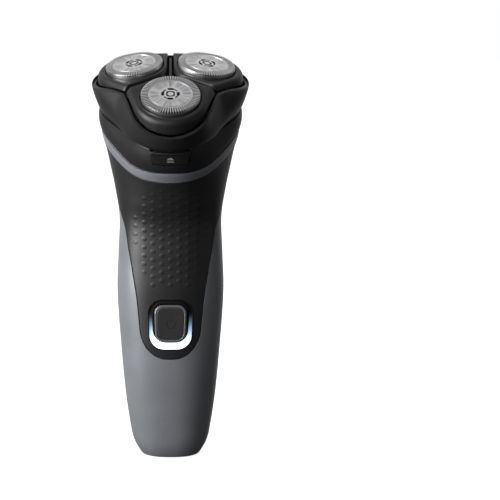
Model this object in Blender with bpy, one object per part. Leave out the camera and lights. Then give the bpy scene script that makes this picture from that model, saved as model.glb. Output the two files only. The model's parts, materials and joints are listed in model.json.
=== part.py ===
"""Cordless rotary shaver with three floating cutting heads, a hinged head and a pop-up trimmer.

The handle stands on its flat base at the origin, +Z runs up the handle and the front faces -Y.
Lengths below are in millimetres; meshes and places are written in metres.
"""

import math

import bmesh
import bpy
from mathutils import Matrix, Vector

MM = 0.001
GAP = 0.3  # clearance between two pieces that lie against each other
WALL = 1.6  # moulded wall thickness
BODY_SIDES = 36  # facets round the handle
HEAD_SIDES = 48  # facets round the head

# Handle sections from the base to the neck. Each row holds the height and depth of the section's
# centre, its forward tilt in degrees, its half width, front and rear extents, the power of its
# superellipse, and how strongly it takes the three-lobed outline of the head.
HANDLE_SECTIONS = (
    (0.0, 0.0, 0, 11.7, 8.6, 8.8, 2.3, 0.0),
    (2.0, 0.0, 0, 12.9, 10.2, 10.5, 2.3, 0.0),
    (5.0, 0.0, 0, 14.5, 11.8, 12.2, 2.3, 0.0),
    (9.0, 0.0, 0, 15.65, 13.0, 13.4, 2.3, 0.0),
    (24.0, 0.0, 0, 17.85, 15.0, 15.1, 2.3, 0.0),
    (44.0, 0.0, 0, 19.65, 16.2, 15.8, 2.3, 0.0),
    (67.0, 0.0, 0, 21.05, 16.4, 15.8, 2.3, 0.0),
    (82.0, 0.0, 2, 20.55, 15.7, 15.3, 2.3, 0.0),
    (97.0, 0.0, 8, 20.05, 15.6, 14.9, 2.25, 0.0),
    (109.0, 0.6, 17, 21.9, 20.2, 14.9, 2.2, 0.03),
    (117.0, 0.9, 23, 23.6, 23.6, 15.6, 2.15, 0.05),
    (123.3, 0.03, 26, 24.9, 25.8, 17.3, 2.1, 0.07),
    (127.33, -1.93, 26, 26.0, 26.7, 19.2, 2.05, 0.08),
)
HANDLE_TOP = 127.33
FLOOR = 2.2  # thickness of the base
BODY_ROWS = (0, 1, 2.2, 4, 6.5, 10, 16, 24, 34, 44, 55, 67, 76, 85, 92, 99, 105, 111, 117, 122, HANDLE_TOP)

# The head leans forward: its frame is centred between the guards, +Z along its own axis.
HEAD_TILT = 26.0
HEAD_CENTRE = Vector((0.0, -14.2, 152.5))
COLLAR_LOW = -27.7
COLLAR_TOP = -17.9
RIM = -17.3  # lower rim of the head shell
# (half width, front, rear, power, lobes) of the neck collar and the head shell at set levels
COLLAR_LOW_SECTION = (26.1, 26.8, 19.4, 2.05, 0.08)
COLLAR_MID_SECTION = (26.6, 27.1, 19.9, 2.0, 0.09)
COLLAR_TOP_SECTION = (26.9, 27.6, 22.0, 2.0, 0.12)
RIM_SECTION = (25.9, 28.3, 22.5, 2.0, 0.135)
SHOULDER_SECTION = (28.4, 31.2, 24.0, 2.0, 0.14)

# Three shaving units stand on a circle, each leaning outwards.
UNIT_CIRCLE = 16.0
UNIT_LEAN = 9.0
UNIT_AZIMUTHS = {"front": 0.0, "left": -120.0, "right": 120.0}
GUARD_R = 10.9
PETAL_R = 14.0
PETAL_CORNER_R = 19.2  # distance of a petal's side corners from the head's axis
PETAL_TOP = -1.7
PETAL_PIVOT = -4.0  # level of the axis that a petal rocks about, in its unit's frame
PETAL_GAP = 0.4  # half the gap between two petals
REAR_GAP = 1.1  # half the wider gap behind, which shows the carrier's rib
PETAL_GAP_FLARE, REAR_GAP_FLARE = 0.55, 0.35  # how fast each gap widens upwards

MODULE = 0.6
PINION_TEETH = 9
GEAR_TEETH = 33
GEAR_LEVEL = -22.5  # along a unit's own axis
GEAR_THICK = 2.0
PINION_LOW, PINION_HIGH = -21.9, -19.8

MOTOR_TOP, MOTOR_BOTTOM = -26.9, -44.5
PLATE_LOW, PLATE_TOP = -26.6, -25.4
COVER_LOW, COVER_TOP = -19.1, -17.8

PANEL_BOTTOM = 42.5  # lowest point of the front panel
PANEL_U_TOP = 55.0
PANEL_TOP = 123.3
BUTTON_CENTRE = 56.75
BUTTON_SIZE = (12.0, 14.3)
RING_CENTRE = 56.2
RING_HOLE = (16.9, 19.6)
RING_SIZE = (16.2, 19.0)

TRIMMER_HALF = 10.5
TRIMMER_HINGE = (12.3, 84.2)  # y and z of the trimmer's hinge
TRIMMER_TOP = 105.4
CARRIER_REACH = 19.3  # length of the petal carrier's arms
HEAD_HINGE = (24.3, -17.6)  # y and z of the head's hinge, in the head's frame
WHEEL_POST_R = 1.5  # post of the lock wheel, which turns in the retaining frame

# part colours: (red, green, blue), roughness, metallic
FINISHES = {
    "grey_body": ((0.115, 0.125, 0.14), 0.38, 0.0),
    "black_body": ((0.012, 0.012, 0.013), 0.42, 0.0),
    "black_gloss": ((0.008, 0.008, 0.009), 0.15, 0.0),
    "inner_plastic": ((0.06, 0.06, 0.065), 0.5, 0.0),
    "white_plastic": ((0.62, 0.62, 0.6), 0.45, 0.0),
    "steel": ((0.62, 0.62, 0.63), 0.25, 1.0),
    "brass": ((0.72, 0.5, 0.2), 0.3, 1.0),
    "light": ((0.75, 0.9, 1.0), 0.3, 0.0),
    "rubber": ((0.02, 0.02, 0.02), 0.8, 0.0),
    "board": ((0.02, 0.12, 0.06), 0.5, 0.0),
    "battery": ((0.05, 0.2, 0.28), 0.35, 0.0),
}


# --- placing ---------------------------------------------------------------------------------


def metres(matrix):
    """The matrix with its translation turned from millimetres to metres."""
    placed = matrix.copy()
    placed.translation = matrix.translation * MM
    return placed


HEAD = Matrix.Translation(HEAD_CENTRE) @ Matrix.Rotation(math.radians(HEAD_TILT), 4, "X")
WORLD = Matrix.Identity(4)


def unit_frame(azimuth):
    """Frame of one shaving unit: origin at its ring centre, +Z along its axis, -Y outwards."""
    turn = Matrix.Rotation(math.radians(azimuth), 4, "Z")
    lean = Matrix.Rotation(math.radians(UNIT_LEAN), 4, "X")
    return HEAD @ turn @ Matrix.Translation((0, -UNIT_CIRCLE, 0)) @ lean


# --- mesh building ---------------------------------------------------------------------------


def loft(rings, closed=False):
    """Solid skinned through rings of points, capped at its ends unless the rings close on themselves."""
    bm = bmesh.new()
    rows = [[bm.verts.new(point) for point in ring] for ring in rings]
    following = rows[1:] + rows[:1] if closed else rows[1:]
    for low, high in zip(rows, following):
        for i in range(len(low)):
            j = (i + 1) % len(low)
            bm.faces.new((low[i], low[j], high[j], high[i]))
    if not closed:
        bm.faces.new(rows[0][::-1])
        bm.faces.new(rows[-1])
    bmesh.ops.recalc_face_normals(bm, faces=bm.faces[:])
    return bm


def slab(outer, inner):
    """Solid between two equal grids of points, with walls along the four sides."""
    bm = bmesh.new()
    top = [[bm.verts.new(point) for point in row] for row in outer]
    base = [[bm.verts.new(point) for point in row] for row in inner]
    last_row, last_column = len(top) - 1, len(top[0]) - 1
    for i in range(last_row):
        for j in range(last_column):
            for grid in (top, base):
                bm.faces.new((grid[i][j], grid[i][j + 1], grid[i + 1][j + 1], grid[i + 1][j]))
    for j in range(last_column):
        for i in (0, last_row):
            bm.faces.new((top[i][j], top[i][j + 1], base[i][j + 1], base[i][j]))
    for i in range(last_row):
        for j in (0, last_column):
            bm.faces.new((top[i][j], top[i + 1][j], base[i + 1][j], base[i][j]))
    bmesh.ops.recalc_face_normals(bm, faces=bm.faces[:])
    return bm


def circle(radius, level, sides, centre=(0.0, 0.0)):
    turns = (2 * math.pi * i / sides for i in range(sides))
    return [(centre[0] + radius * math.cos(t), centre[1] + radius * math.sin(t), level) for t in turns]


def lathe(profile, sides, closed=False):
    """Solid turned about Z from (radius, level) points."""
    return loft([circle(radius, level, sides) for radius, level in profile], closed)


def prism(outline, low, high):
    """Outline in X and Y, extruded along Z."""
    return loft([[(x, y, low) for x, y in outline], [(x, y, high) for x, y in outline]])


def plate(outline, holes, low, high):
    """Flat plate with holes: the loops are filled and the face is extruded."""
    bm = bmesh.new()
    for loop in [outline] + holes:
        corners = [bm.verts.new((point[0], point[1], low)) for point in loop]
        for start, end in zip(corners, corners[1:] + corners[:1]):
            bm.edges.new((start, end))
    bmesh.ops.triangle_fill(bm, use_beauty=True, edges=bm.edges[:])
    grown = bmesh.ops.extrude_face_region(bm, geom=bm.faces[:])
    raised = [item for item in grown["geom"] if isinstance(item, bmesh.types.BMVert)]
    bmesh.ops.translate(bm, verts=raised, vec=(0, 0, high - low))
    bmesh.ops.recalc_face_normals(bm, faces=bm.faces[:])
    return bm


def block(low, high, bevel=0.0):
    """Box between two corners, with its edges bevelled."""
    bm = bmesh.new()
    size = [b - a for a, b in zip(low, high)]
    middle = [(a + b) / 2 for a, b in zip(low, high)]
    bmesh.ops.create_cube(bm, size=1.0, matrix=Matrix.Translation(middle) @ Matrix.Diagonal((*size, 1)))
    if bevel:
        bmesh.ops.bevel(bm, geom=bm.edges[:], offset=bevel, segments=1, affect="EDGES")
    return bm


def rounded_rectangle(width, height, radius, centre=(0.0, 0.0), steps=4):
    """Outline with quarter-circle corners, anticlockwise."""
    points = []
    for quarter, (sx, sy) in enumerate(((1, 1), (-1, 1), (-1, -1), (1, -1))):
        cx = centre[0] + sx * (width / 2 - radius)
        cy = centre[1] + sy * (height / 2 - radius)
        for step in range(steps + 1):
            turn = math.pi / 2 * (quarter + step / steps)
            points.append((cx + radius * math.cos(turn), cy + radius * math.sin(turn)))
    return points


def along_front(bm):
    """Turns a mesh built with X across and Y up, extruded along Z, to stand behind the front face."""
    bmesh.ops.transform(bm, matrix=Matrix.Rotation(math.pi / 2, 4, "X"), verts=bm.verts[:])
    return bm


def across(bm, centre_y, centre_z):
    """Turns a mesh built about Z to lie along X, through the given point."""
    turn = Matrix.Translation((0, centre_y, centre_z)) @ Matrix.Rotation(math.pi / 2, 4, "Y")
    bmesh.ops.transform(bm, matrix=turn, verts=bm.verts[:])
    return bm


def add(name, bm, finish, frame=WORLD, origin=(0.0, 0.0, 0.0)):
    """Object from a mesh in millimetres, in the given frame, with its origin at a point of that frame."""
    bmesh.ops.translate(bm, vec=-Vector(origin), verts=bm.verts[:])
    bmesh.ops.scale(bm, vec=(MM, MM, MM), verts=bm.verts[:])
    mesh = bpy.data.meshes.new(name)
    bm.to_mesh(mesh)
    bm.free()
    obj = bpy.data.objects.new(name, mesh)
    bpy.context.collection.objects.link(obj)
    obj.matrix_world = metres(frame @ Matrix.Translation(origin))
    if finish:
        mesh.materials.append(bpy.data.materials[finish])
        mesh.shade_smooth()
        mesh.set_sharp_from_angle(angle=math.radians(35))
    return obj


def helper(name, bm, frame=WORLD):
    """Hidden object that only shapes others."""
    obj = add(name, bm, None, frame)
    obj.hide_render = True
    obj.display_type = "WIRE"
    return obj


def combine(target, other, operation="DIFFERENCE"):
    modifier = target.modifiers.new(other.name, "BOOLEAN")
    modifier.operation = operation
    modifier.object = other


# --- handle surface --------------------------------------------------------------------------


def section_radius(azimuth, half_width, front, rear, power, lobes):
    """Polar radius of a section; azimuth 0 faces forwards and the lobes stand at 0 and 120 degrees."""
    c, s = math.cos(azimuth), math.sin(azimuth)
    depth = front / (1 + lobes) if c > 0 else rear / (1 - lobes)
    plain = (abs(s / half_width) ** power + abs(c / depth) ** power) ** (-1 / power)
    return plain * (1 + lobes * math.cos(3 * azimuth))


def handle_section(height):
    """Smoothly interpolated row of HANDLE_SECTIONS, without its height."""
    rows = HANDLE_SECTIONS
    k = max(i for i in range(len(rows) - 1) if rows[i][0] <= height or i == 0)
    low, high = rows[k], rows[k + 1]
    span = high[0] - low[0]
    before = rows[max(k - 1, 0)]
    after = rows[min(k + 2, len(rows) - 1)]
    t = (height - low[0]) / span
    values = []
    for i in range(1, len(low)):
        rise_low = (high[i] - before[i]) / (high[0] - before[0]) * span
        rise_high = (after[i] - low[i]) / (after[0] - low[0]) * span
        values.append(
            low[i] * (2 * t**3 - 3 * t**2 + 1)
            + rise_low * (t**3 - 2 * t**2 + t)
            + high[i] * (3 * t**2 - 2 * t**3)
            + rise_high * (t**3 - t**2)
        )
    return values


def skin(height, azimuth, depth=0.0):
    """Point of the handle's surface, or a set depth inside it; azimuth in radians from the front."""
    centre_y, tilt, *shape = handle_section(height)
    radius = section_radius(azimuth, *shape) - depth
    back = -radius * math.cos(azimuth)
    tilt = math.radians(tilt)
    y, z = centre_y + back * math.cos(tilt), height + back * math.sin(tilt)
    return Vector((radius * math.sin(azimuth), y, z))


def azimuth_at(height, x, rear):
    """Azimuth at which the handle's surface has the given x, on its front or rear half."""
    low, high = (math.pi / 2, math.pi) if rear else (0.0, math.pi / 2)
    for _ in range(40):
        middle = (low + high) / 2
        inside = skin(height, middle).x < abs(x)
        if inside == rear:
            high = middle
        else:
            low = middle
    return math.copysign((low + high) / 2, x)


def rear_slab(half, low, high, outer_depth, inner_depth, columns=8, rows=4):
    """Slab that follows the back of the handle, between two heights and -half..half in x."""
    outer, inner = [], []
    for i in range(rows + 1):
        height = low + (high - low) * i / rows
        xs = [half * (2 * j / columns - 1) for j in range(columns + 1)]
        turns = [azimuth_at(height, x, rear=True) if abs(x) > 1e-6 else math.pi for x in xs]
        outer.append([skin(height, turn, outer_depth) for turn in turns])
        inner.append([skin(height, turn, inner_depth) for turn in turns])
    return slab(outer, inner)


# Azimuth of the front panel's side edge, in degrees, against height: nearly straight up the belly,
# then sweeping round to the back of the neck.
PANEL_EDGE = ((PANEL_U_TOP, 40.0), (67.0, 43.7), (79.0, 51.5), (87.5, 58.4), (95.0, 65.5))
PANEL_EDGE += ((101.0, 78.0), (107.0, 92.0), (114.0, 103.0), (PANEL_TOP, 111.0))
PANEL_DROP = 2.9  # the panel's top edge sinks this far from the front to its rear corners


def panel_edge(height):
    for (low, start), (high, end) in zip(PANEL_EDGE, PANEL_EDGE[1:]):
        if height <= high:
            t = max(0.0, (height - low) / (high - low))
            return start + (end - start) * t
    return PANEL_EDGE[-1][1]


def panel_grid(depth, margin=0.0, columns=16):
    """Rows of points over the front panel, widened by a margin; the lower end is a rounded U."""
    rows = []
    arc_steps = (18, 34, 50, 66, 90)
    u_drop = PANEL_U_TOP - PANEL_BOTTOM + margin
    heights = [PANEL_U_TOP - u_drop * math.cos(math.radians(a)) for a in arc_steps]
    widths = [panel_edge(PANEL_U_TOP) * math.sin(math.radians(a)) ** 0.85 for a in arc_steps]
    for height in (61.0, 67.0, 73.0, 79.0, 85.0, 91.0, 96.0, 101.0, 106.0, 111.0, 116.0, PANEL_TOP + margin):
        heights.append(height)
        widths.append(panel_edge(height))
    for height, width in zip(heights, widths):
        grown = math.radians(width) + margin / handle_section(height)[2]
        climb = max(0.0, (height - 101.0) / (PANEL_TOP - 101.0))
        row = []
        for j in range(columns + 1):
            turn = grown * (2 * j / columns - 1)
            drop = PANEL_DROP * climb * (turn / math.radians(PANEL_EDGE[-1][1])) ** 2
            row.append(skin(height - drop, turn, depth))
        rows.append(row)
    return rows


# --- head outlines ---------------------------------------------------------------------------


def head_ring(level, section, inset=0.0, sides=HEAD_SIDES):
    """Ring of points in the head's frame, at one level or at a level that depends on the azimuth."""
    ring = []
    for i in range(sides):
        turn = 2 * math.pi * i / sides
        radius = section_radius(turn, *section) - inset
        height = level(turn) if callable(level) else level
        ring.append((radius * math.sin(turn), -radius * math.cos(turn), height))
    return ring


def lobe_outline(turn, radius, corner):
    """Distance from the head's axis to the edge of the petals, at an azimuth from the nearest lobe."""
    turn = abs((math.degrees(turn) + 60) % 120 - 60)
    corner_x, corner_y = corner * math.cos(math.radians(60)), corner * math.sin(math.radians(60))
    reach = math.hypot(corner_x - UNIT_CIRCLE, corner_y)
    touch = math.atan2(corner_y, corner_x - UNIT_CIRCLE) - math.acos(radius / reach)
    touch_x, touch_y = UNIT_CIRCLE + radius * math.cos(touch), radius * math.sin(touch)
    direction = math.radians(turn)
    if direction <= math.atan2(touch_y, touch_x):
        off = UNIT_CIRCLE * math.sin(direction)
        return UNIT_CIRCLE * math.cos(direction) + math.sqrt(radius**2 - off**2)
    # straight run from the arc to the corner
    run_x, run_y = corner_x - touch_x, corner_y - touch_y
    t = (touch_x * math.sin(direction) - touch_y * math.cos(direction)) / (
        run_y * math.cos(direction) - run_x * math.sin(direction)
    )
    return math.hypot(touch_x + t * run_x, touch_y + t * run_y)


def petal_skirt_level(outward):
    """Level of a petal's lower edge in its unit's frame, against the distance out from the head's axis."""
    return -3.6 - 3.2 * max(0.0, (outward - 14.0) / 16.0) ** 1.5


def gap_level(turn):
    """Level of the head shell's upper edge in the head's frame."""
    local = math.radians((math.degrees(turn) + 60) % 120 - 60)
    outward = lobe_outline(turn, PETAL_R, PETAL_CORNER_R) * math.cos(local)
    lean = math.radians(UNIT_LEAN)
    return petal_skirt_level(outward) - (outward - UNIT_CIRCLE) * math.sin(lean) - 0.2


def shell_edge(offset, drop):
    """Ring that follows the petals' outline, a set distance outside it."""
    ring = []
    for i in range(HEAD_SIDES):
        turn = 2 * math.pi * i / HEAD_SIDES
        radius = lobe_outline(turn, PETAL_R, PETAL_CORNER_R) + offset
        ring.append((radius * math.sin(turn), -radius * math.cos(turn), gap_level(turn) - drop))
    return ring


def petal_ring(inset, level, gaps):
    """Ring along one petal's outline in its unit's frame. gaps are its two half gaps, left and right."""
    corner = PETAL_CORNER_R - inset * 1.3
    radius = PETAL_R - inset
    points = []
    sin60, cos60 = math.sin(math.radians(60)), math.cos(math.radians(60))
    for side, gap in ((-1, gaps[0]), (1, gaps[1])):
        # half an outline, from the tip near the axis round to the front, in head plan coordinates
        edge = gap + inset * (REAR_GAP_FLARE if gap == REAR_GAP else PETAL_GAP_FLARE)
        normal = (cos60 * edge, sin60 * edge)
        inner = 2.6 + inset * 1.2
        half = []
        for step in range(5):
            run = inner + (corner - inner) * step / 4
            half.append((run * sin60 - normal[0], run * cos60 + normal[1]))
        for step in range(1, 13):
            turn = math.radians(60) * (1 - step / 12)
            if step == 12 and side > 0:
                continue
            reach = lobe_outline(turn, radius, corner)
            half.append((reach * math.sin(turn), reach * math.cos(turn)))
        half = [(side * x, out) for x, out in half]
        points += half if side < 0 else half[::-1]
    lean = math.radians(UNIT_LEAN)
    ring = []
    for x, out in points:
        height = level(out) if callable(level) else level
        ring.append((x, (UNIT_CIRCLE + height * math.sin(lean) - out) / math.cos(lean), height))
    return ring


def petal_bore(radius, level, template):
    """Circle with one point in the direction of each template point."""
    ring = []
    for x, y, _ in template:
        scale = radius / math.hypot(x, y)
        ring.append((x * scale, y * scale, level))
    return ring


# --- gears -----------------------------------------------------------------------------------


def gear_outline(teeth, phase=0.0):
    """Toothed outline; a tooth stands at the phase, in degrees."""
    pitch = MODULE * teeth / 2
    points = []
    for tooth in range(teeth):
        middle = math.radians(phase) + 2 * math.pi * tooth / teeth
        step = 2 * math.pi / teeth
        root, tip = pitch - 0.72, pitch + 0.5
        for radius, share in ((root, -0.34), (tip, -0.1), (tip, 0.1), (root, 0.34)):
            turn = middle + share * step
            points.append((radius * math.sin(turn), -radius * math.cos(turn)))
    return points


# --- sub-parts -------------------------------------------------------------------------------


def build_handle_shells():
    turns = [2 * math.pi * i / BODY_SIDES for i in range(BODY_SIDES)]
    outer = [[skin(height, turn) for turn in turns] for height in BODY_ROWS]
    inner = [[skin(height, turn, WALL) for turn in turns] for height in BODY_ROWS if height >= FLOOR]
    front = add("front_shell", loft(outer + inner[::-1]), "grey_body")
    rear = add("rear_shell", loft(outer + inner[::-1]), "grey_body")

    # The parting line runs down both sides; each half stops short of it by half the gap.
    line = [(3.0, -5.0), (3.0, 70.0), (4.0, 92.0), (8.6, 108.0), (11.0, 122.0), (10.5, 150.0)]
    for name, shell, sign in (("rear_half", front, -1), ("front_half", rear, 1)):
        far = 45.0 * -sign
        outline = [(y + sign * GAP / 2, z) for y, z in line]
        outline += [(far, line[-1][1]), (far, line[0][1])]
        bm = prism(outline, -40, 40)
        bmesh.ops.transform(bm, matrix=Matrix(((0, 0, 1), (1, 0, 0), (0, 1, 0))).to_4x4(), verts=bm.verts[:])
        combine(shell, helper(name, bm))

    window = helper("panel_window", slab(panel_grid(-2.0, GAP), panel_grid(WALL + 1.5, GAP)))
    combine(front, window)
    half = TRIMMER_HALF + 0.4
    combine(rear, helper("trimmer_window", block((-half, 5, 81.7), (half, 25, 112.2))))
    combine(rear, helper("slider_slot", block((-5.4, 8, 57.6), (5.4, 25, 74.5))))
    socket = helper("socket_hole", block((-5.4, 1.5, -2), (5.4, 7.5, 5)))
    combine(front, socket)
    combine(rear, socket)
    for side in (-1, 1):
        hole = lathe(((2.3, -2), (2.3, 1.3), (1.2, 1.3), (1.2, 4)), 16)
        combine(front, helper(f"screw_hole_{side}", hole, Matrix.Translation((7.6 * side, -2.5, 0))))


def build_front_panel():
    panel = add("front_panel", slab(panel_grid(0.0), panel_grid(WALL)), "black_body")
    outline = rounded_rectangle(*RING_HOLE, 5.2, (0, RING_CENTRE))
    combine(panel, helper("ring_hole", along_front(prism(outline, 8, 22))))


def build_power_button():
    ring = plate(
        rounded_rectangle(*RING_SIZE, 4.9, (0, RING_CENTRE)),
        [rounded_rectangle(BUTTON_SIZE[0] + 0.8, BUTTON_SIZE[1] + 0.8, 3.2, (0, BUTTON_CENTRE))],
        12.9,
        15.4,
    )
    add("light_guide", along_front(ring), "light")
    rings = []
    for inset, depth in ((0.0, 14.5), (0.0, 16.2), (0.6, 16.8)):
        width, height = (side - 2 * inset for side in BUTTON_SIZE)
        outline = rounded_rectangle(width, height, 2.8 - inset, (0, BUTTON_CENTRE))
        rings.append([(x, y, depth) for x, y in outline])
    button = add("power_button", along_front(loft(rings)), "black_gloss", origin=(0, -16.2, BUTTON_CENTRE))
    stem = along_front(prism(rounded_rectangle(4, 4, 0.8, (0, BUTTON_CENTRE), 1), 13.45, 15.0))
    combine(button, helper("button_stem", stem), "UNION")
    switch = block((-3, -12.5, BUTTON_CENTRE - 3), (3, -10.7, BUTTON_CENTRE + 3), 0.2)
    add("tact_switch", switch, "black_gloss")
    add("indicator_led", block((-1.2, -11.6, 46.6), (1.2, -10.7, 48.2), 0.15), "light")


def build_electronics():
    board = plate(rounded_rectangle(18, 64, 1.5, (0, 55)), [circle(1.0, 0, 12, (6.5, 84))], 9.4, 10.4)
    add("circuit_board", along_front(board), "board")
    cell = ((6.6, 12), (7.1, 12.5), (7.1, 60), (6.6, 60.5), (3.0, 60.6), (3.0, 61.2))
    add("battery", lathe(cell, 24), "battery", Matrix.Translation((0, 3.6, 0)))
    add("battery_tab_lower", block((-3, 1.2, 11.2), (3, 6.0, 11.6)), "steel")
    add("battery_tab_upper", block((-3, 1.2, 61.6), (3, 6.0, 62.0)), "steel")
    chassis = add("inner_chassis", block((-9.4, -8.6, 8.6), (9.4, -7.4, 98)), "white_plastic")
    for name, low, high in (
        ("lower_shelf", (-9.0, -8.0, 8.9), (9.0, 9.6, 10.7)),
        ("upper_shelf", (-11.0, -8.0, 62.6), (11.0, 9.6, 64.2)),
    ):
        combine(chassis, helper(name, block(low, high)), "UNION")
    cup = [
        [(x, y, level) for x, y in rounded_rectangle(width, depth, radius, (0, 4.5), 2)]
        for width, depth, radius, level in (
            (8.4, 4.5, 1.2, 7.0),
            (8.4, 4.5, 1.2, 0.2),
            (10.0, 5.4, 1.5, 0.2),
            (10.0, 5.4, 1.5, 8.0),
        )
    ]
    add("charging_socket", loft(cup), "black_body")


def build_charging_pins():
    for name, x in (("charging_pin_left", -2.0), ("charging_pin_right", 2.0)):
        pin = lathe(((0.55, 4.6), (0.65, 4.9), (0.65, 6.6)), 12)
        add(name, pin, "brass", Matrix.Translation((x, 4.5, 0)))


def build_base_screws():
    profile = ((0.7, 0.9), (0.7, 0.35), (1.9, 0.35), (1.9, 1.0), (0.85, 1.1), (0.85, 8.0), (0.3, 8.2))
    for name, x in (("base_screw_left", -7.6), ("base_screw_right", 7.6)):
        add(name, lathe(profile, 16), "steel", Matrix.Translation((x, -2.5, 0)))


def build_collar():
    outer = [
        head_ring(COLLAR_LOW, COLLAR_LOW_SECTION, 0.9),
        head_ring(-26.4, COLLAR_LOW_SECTION, 0.8),
        head_ring(-26.0, COLLAR_MID_SECTION),
        head_ring(-18.3, COLLAR_TOP_SECTION),
        head_ring(COLLAR_TOP, COLLAR_TOP_SECTION, 0.5),
    ]
    inner = [
        head_ring(COLLAR_TOP, COLLAR_TOP_SECTION, 1.9),
        head_ring(-25.0, COLLAR_MID_SECTION, 1.9),
        head_ring(COLLAR_LOW, COLLAR_LOW_SECTION, 2.6),
    ]
    collar = add("neck_collar", loft(outer + inner, closed=True), "black_body", HEAD)
    notch = block((-7.8, -40, -24.1), (7.8, -22, -10))
    combine(collar, helper("button_notch", notch, HEAD))


def build_release_button():
    face = []
    for level, half in ((-23.8, 6.4), (-21.5, 7.1), (-18.35, 7.4)):
        face.append([])
        for j in range(9):
            x = half * (j / 4 - 1)
            reach = math.sqrt(1 - (x / 28.0) ** 2)
            front = (27.4 + (level + 18) * 0.06) * reach + 0.35
            face[-1].append((x, -front, level))
    back = [[(x, -25.6, level) for x, _, level in row] for row in face]
    button = add("release_button", slab(face, back), "black_body", HEAD, (0, -27.0, -21.0))
    combine(button, helper("release_tongue", block((-3, -26.2, -21.4), (3, -22.4, -20.2)), HEAD), "UNION")
    # coil spring behind the tongue
    turns, sides, wire, coil = 4, 5, 0.2, 0.72
    rings = []
    for i in range(turns * 8 + 1):
        turn = 2 * math.pi * i / 8
        centre = Vector((coil * math.cos(turn), -22.0 + 3.3 * i / (turns * 8), -20.8 + coil * math.sin(turn)))
        outward = Vector((math.cos(turn), 0, math.sin(turn)))
        rings.append(
            [
                centre + wire * (math.cos(a) * outward + math.sin(a) * Vector((0, 1, 0)))
                for a in (2 * math.pi * k / sides for k in range(sides))
            ]
        )
    add("release_spring", loft(rings), "steel", HEAD, (0, -18.7, -20.8))


def build_drive_cover():
    holes = []
    for side, azimuth in UNIT_AZIMUTHS.items():
        turn = math.radians(azimuth)
        reach = UNIT_CIRCLE + (COVER_LOW + COVER_TOP) / 2 * math.tan(math.radians(UNIT_LEAN))
        holes.append(circle(3.6, 0, 20, (reach * math.sin(turn), -reach * math.cos(turn))))
        low, high = COVER_LOW - 0.1, COVER_TOP + 0.3
        seal = ((3.3, low), (3.3, high), (2.2, high), (2.2, low))
        place = HEAD @ Matrix.Translation((reach * math.sin(turn), -reach * math.cos(turn), 0))
        add(f"spindle_seal_{side}", lathe(seal, 20, closed=True), "rubber", place)
    outline = [(x, y) for x, y, _ in head_ring(0, COLLAR_TOP_SECTION, 2.7)]
    cover = add("drive_cover", plate(outline, holes, COVER_LOW, COVER_TOP), "inner_plastic", HEAD)
    combine(cover, helper("cover_notch", block((-8.2, -40, -30), (8.2, -23.6, -10)), HEAD))
    rib = block((-2, -18.3, -21.6), (2, -17.2, COVER_LOW + 0.5))
    combine(cover, helper("spring_rib", rib, HEAD), "UNION")


def build_motor():
    outline = rounded_rectangle(20.1, 15.1, 4.5, steps=3)
    add("motor_can", prism(outline, MOTOR_BOTTOM, MOTOR_TOP), "steel", HEAD)
    plate_outline = [(x, y) for x, y, _ in head_ring(0, (22.6, 23.4, 15.6, 2.0, 0.08), 0.0)]
    holes = [circle(2.2, 0, 16)]
    holes += [circle(1.3, 0, 12, (x, 0)) for x in (-8.0, 8.0)]
    add("motor_mount", plate(plate_outline, holes, PLATE_LOW, PLATE_TOP), "inner_plastic", HEAD)
    seat = PLATE_TOP + 0.1
    for name, x in (("motor_screw_left", -8.0), ("motor_screw_right", 8.0)):
        screw = lathe(((0.9, MOTOR_TOP + 0.1), (0.9, seat), (1.6, seat), (1.4, seat + 0.5)), 12)
        add(name, screw, "steel", HEAD @ Matrix.Translation((x, 0, 0)))
    add("motor_shaft", lathe(((0.85, MOTOR_TOP + 0.2), (0.85, -20.2), (0.6, -20.0)), 16), "steel", HEAD)
    bore = circle(0.95, 0, 16)
    pinion = plate(gear_outline(PINION_TEETH), [bore], PINION_LOW, PINION_HIGH)
    add("motor_pinion", pinion, "brass", HEAD)


def build_drive(side, azimuth):
    frame = unit_frame(azimuth)
    # The pinion has a tooth at the front and at both rear gears, so each gear shows it a space.
    outline = gear_outline(GEAR_TEETH, 180 + 180 / GEAR_TEETH)
    gear = plate(outline, [circle(1.45, 0, 16)], GEAR_LEVEL - GEAR_THICK / 2, GEAR_LEVEL + GEAR_THICK / 2)
    add(f"drive_gear_{side}", gear, "white_plastic", frame)
    profile = ((1.3, -25.0), (1.3, -21.2), (2.1, -21.1), (2.1, -20.4), (1.4, -20.2), (1.4, -5.0), (1.1, -4.7))
    add(f"spindle_{side}", lathe(profile, 16), "steel", frame)


def build_head_shell():
    def shoulder(turn):
        return -10.6 - 1.5 * math.cos(1.5 * turn) ** 2

    rings = [
        head_ring(RIM, RIM_SECTION),
        head_ring(RIM + 0.5, RIM_SECTION, -0.35),
        head_ring(shoulder, SHOULDER_SECTION),
        shell_edge(1.5, 0.9),
        shell_edge(1.1, 0.2),
        shell_edge(0.65, 0.2),
        shell_edge(0.65, 1.2),
        head_ring(lambda turn: shoulder(turn) - 0.8, SHOULDER_SECTION, 1.7),
        head_ring(RIM, RIM_SECTION, 1.7),
    ]
    shell = add("head_shell", loft(rings, closed=True), "black_body", HEAD, (0, *HEAD_HINGE))
    # stepped notch in the rear wall: tall for the moving leaf, low for the knuckles beside it
    steps = ((8.7, -20.0), (8.7, -15.8), (5.3, -15.8), (5.3, -13.0))
    outline = list(steps) + [(-x, z) for x, z in reversed(steps)]
    combine(shell, helper("hinge_notch", along_front(prism(outline, -31, -19.5)), HEAD))


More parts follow.
